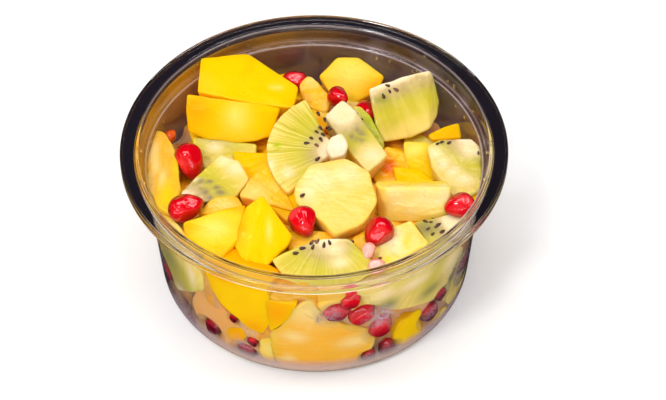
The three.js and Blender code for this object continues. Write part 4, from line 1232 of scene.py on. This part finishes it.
# The sleeve's two faces, as depths in the plastic, its lowest and highest row, and their count.
FILM_REACH = (0.28, 0.36)
FILM_FOOT, FILM_TOP, FILM_ROWS = 1.6, 50.0, 40

# Where the droplets are dense: angle, height, radius and strength.
FILM_SPOTS = np.array([
    (23.3, 25.5, 4, 0.7), (46, 13, 3, 0.35), (6, 31, 3, 0.4), (-54, 4, 6, 0.5), (-26, 10, 2.5, 0.4),
    (27, 3, 4, 0.5), (62, 20, 9, 0.3), (95, 12, 9, 0.3), (140, 25, 9, 0.25), (175, 8, 12, 0.3),
    (215, 28, 8, 0.25),
    (250, 10, 12, 0.3), (285, 18, 8, 0.25),
])

# Where the painted reflection of the fruit lies on the wall above the salad: angle, height, radius and
# strength.
JUICE_SPOTS = np.array([
    (275, 44, 10, 0.9), (258, 45, 12, 0.9), (235, 46, 12, 0.9), (215, 46, 11, 0.75), (195, 47, 12, 0.7),
    (172, 48, 12, 0.65), (150, 46, 10, 0.4), (125, 44, 10, 0.4), (105, 43, 10, 0.6), (90, 42, 8, 0.6),
    (75, 42, 8, 0.5),
])


def film_grid():
    """A thin closed sleeve: up one radius and down the next, just inside the plastic."""
    height = np.linspace(FILM_FOOT, FILM_TOP, FILM_ROWS)
    inner, outer = (np.column_stack([wall_radius(height) + reach, height]) for reach in FILM_REACH)
    return turned(np.vstack([outer[::-1], inner]), CORE_SIDES)


def misty_film():
    """Fine droplets, the juice at the foot, lilac to the sides, and above the salad a painted reflection of
    the fruit, brown at the back and golden to the left."""
    material, tree, where = new_material("misty_film")
    axes = place(tree, "SeparateXYZ", {0: where}).outputs
    fine = place(tree, "TexNoise", {"Vector": where, "Scale": 1400.0, "Detail": 2.0})
    mist = math(tree, "MULTIPLY", trait(tree, "mist"), ranged(tree, fine, 0.35, 0.65))
    foot = ranged(tree, axes["Z"], 0.009, 0.002, high=0.6, ease="SMOOTHSTEP")
    # Painted reflection of the fruit in the wall above the salad, broken into patches: brown at the back,
    # golden to the left.
    runs = patches(tree, where, 0.012, cover=0.3, blur=0.3)
    gold = math(tree, "MULTIPLY", trait(tree, "gold"), ranged(tree, runs, low=0.7))
    sides = ranged(tree, axes["Y"], -0.042, -0.03, ease="SMOOTHSTEP")
    pool = layered(tree, (250, 218, 182), (sides, (212, 184, 188)))
    golden = layered(tree, (172, 118, 24), (ranged(tree, axes["Z"], 0.044, 0.0465), (214, 154, 10)))
    juice = layered(tree, (82, 44, 12), (ranged(tree, axes["X"], 0.01, -0.045), golden))
    plainly = math(tree, "MULTIPLY", gold, 4.0)
    plainly.use_clamp = True
    colour = layered(tree, (206, 184, 196), (foot, pool), (plainly, juice))
    cover = math(tree, "MAXIMUM", math(tree, "MAXIMUM", mist, foot), gold)
    film = place(tree, "BsdfPrincipled", {"Base Color": colour, "Roughness": 0.5, "Alpha": cover})
    place(tree, "OutputMaterial", {"Surface": film})
    return material


film = film_grid()
# gold marks where the painted reflection of the fruit lies.
film_skin = skin(film, looped=True, mist=spotted(film, FILM_SPOTS), gold=spotted(film, JUICE_SPOTS))
new_piece("wall_film", [film_skin], misty_film())


# ---- Drops on the plastic ----
# Small drops of juice and condensed water, left on the inside of the wall above the salad.

DROP_COUNT = 60
DROP_SHAPE = (1.15, 1.0, 0.7)
DROP_SCALE = (0.5, 1.3)
DROP_HEIGHT = (41, 51)


def wall_drops():
    """Grids of low round drops of drawn size, on the inner wall between the salad and the rim."""
    draw = np.random.default_rng(8)
    a = np.radians(draw.uniform(-20, 200, DROP_COUNT))
    height = draw.uniform(*DROP_HEIGHT, DROP_COUNT)
    out = np.column_stack([np.cos(a), np.sin(a), 0 * a])
    up = np.tile(UP, (DROP_COUNT, 1))
    spots = out * wall_radius(height)[:, None] + up * height[:, None]
    return drops(spots, up, -out, DROP_SHAPE, draw.uniform(*DROP_SCALE, DROP_COUNT), sides=10, rings=7)


def clear_water():
    """Clear water, a little rougher here and there."""
    material, tree, where = new_material("clear_water")
    water = place(tree, "BsdfPrincipled", {
        "Base Color": (1, 1, 1, 1), "IOR": 1.33, "Transmission Weight": 1.0,
        "Roughness": ranged(tree, place(tree, "TexNoise", {"Vector": where, "Scale": 300.0}), high=0.08),
    })
    place(tree, "OutputMaterial", {"Surface": water})
    return material


new_piece("wall_drops", [skin(grid) for grid in wall_drops()], clear_water())


# ---- The floor, the light and the camera ----
# A plain pale floor under soft studio lamps. What shows through clear plastic, or is mirrored in wet
# fruit, is a dark room round the lamps, so that the plastic keeps its dark edges.

FLOOR_REACH = 3.0
DARK_ROOM = (30, 26, 34)
PALE_FRONT = (205, 190, 180)


def pale_floor():
    """A wide pale floor. Through the plastic it is seen dark behind the tub, and warm and pale before it.
    Where a ray has met an odd count of surfaces, one of them has mirrored it, and the floor is dark."""
    material, tree, where = new_material("pale_floor")
    grain = place(tree, "TexNoise", {"Vector": where, "Scale": 40.0, "Detail": 4.0})
    plain = layered(tree, (0.93, 0.93, 0.93, 1), (grain, (0.95, 0.95, 0.95, 1)))
    path = place(tree, "LightPath").outputs
    even = math(tree, "SUBTRACT", 1.0, math(tree, "MODULO", path["Ray Depth"], 2.0))
    before = place(tree, "SeparateXYZ", {0: where}).outputs["Y"]
    before = math(tree, "MULTIPLY", ranged(tree, before, 0.005, -0.005, ease="SMOOTHSTEP"), even)
    through = layered(tree, DARK_ROOM, (before, (225, 206, 186)))
    mixed = place(tree, "MixShader", {
        0: math(tree, "MAXIMUM", path["Is Glossy Ray"], path["Is Transmission Ray"]),
        1: place(tree, "BsdfDiffuse", {"Color": plain}), 2: place(tree, "BsdfDiffuse", {"Color": through}),
    })
    place(tree, "OutputMaterial", {"Surface": mixed})
    return material


floor_mesh = bpy.data.meshes.new("floor")
corners = [(x * FLOOR_REACH, y * FLOOR_REACH, 0) for x, y in ((-1, -1), (1, -1), (1, 1), (-1, 1))]
floor_mesh.from_pydata(corners, [], [(0, 1, 2, 3)])
floor_mesh.materials.append(pale_floor())
floor = bpy.data.objects.new("floor", floor_mesh)
bpy.context.scene.collection.objects.link(floor)

LAMP_AIM = np.array([0, 0, 0.03])


def soft_lamp(name, at, width, height, power):
    """A rectangular soft lamp of white light that faces the salad."""
    data = bpy.data.lights.new(name, "AREA")
    data.shape = "RECTANGLE"
    data.size, data.size_y = width, height
    data.energy = power
    lamp = bpy.data.objects.new(name, data)
    lamp.location = at
    x, y, z = LAMP_AIM - at
    lamp.rotation_euler = (np.pi / 2 + np.arctan2(z, np.hypot(x, y)), 0, np.arctan2(-x, y))
    bpy.context.scene.collection.objects.link(lamp)


soft_lamp("overhead", (0, 0.05, 0.9), 1.4, 0.22, 5.0)
soft_lamp("key", (-0.35, -0.35, 0.75), 0.16, 0.16, 2.4)
soft_lamp("front", (0, -0.75, 0.25), 0.6, 0.3, 1.7)


def studio():
    """The room round the lamps: even grey to the camera and as soft light, and mirrored it is dark, with
    a pale front."""
    world = bpy.data.worlds.new("studio")
    world.use_nodes = True
    world.cycles.sampling_method = "NONE"
    tree = world.node_tree
    tree.nodes.clear()
    seen = place(tree, "LightPath").outputs
    plainly = math(tree, "MAXIMUM", seen["Is Camera Ray"], seen["Is Diffuse Ray"])
    way = place(tree, "SeparateXYZ", {0: place(tree, "TexCoord").outputs["Generated"]}).outputs["Y"]
    front = ranged(tree, way, -0.2, -0.7, ease="SMOOTHSTEP")
    room = layered(tree, DARK_ROOM, (front, PALE_FRONT), (plainly, (0.48, 0.48, 0.48, 1)))
    place(tree, "OutputWorld", {"Surface": place(tree, "Background", {"Color": room})})
    return world


bpy.context.scene.world = studio()

CAMERA_AT = (0.0057, -0.355, 0.4041)
CAMERA_PITCH = 46.81
CAMERA_LENS = 89.55
camera_data = bpy.data.cameras.new("camera")
camera_data.sensor_width = 36.0
camera_data.lens = CAMERA_LENS
camera_data.clip_start = 0.02
camera = bpy.data.objects.new("camera", camera_data)
camera.location = CAMERA_AT
camera.rotation_euler = (np.radians(90 - CAMERA_PITCH), 0, 0)
bpy.context.scene.collection.objects.link(camera)
bpy.context.scene.camera = camera
bpy.context.scene.view_settings.view_transform = "Standard"
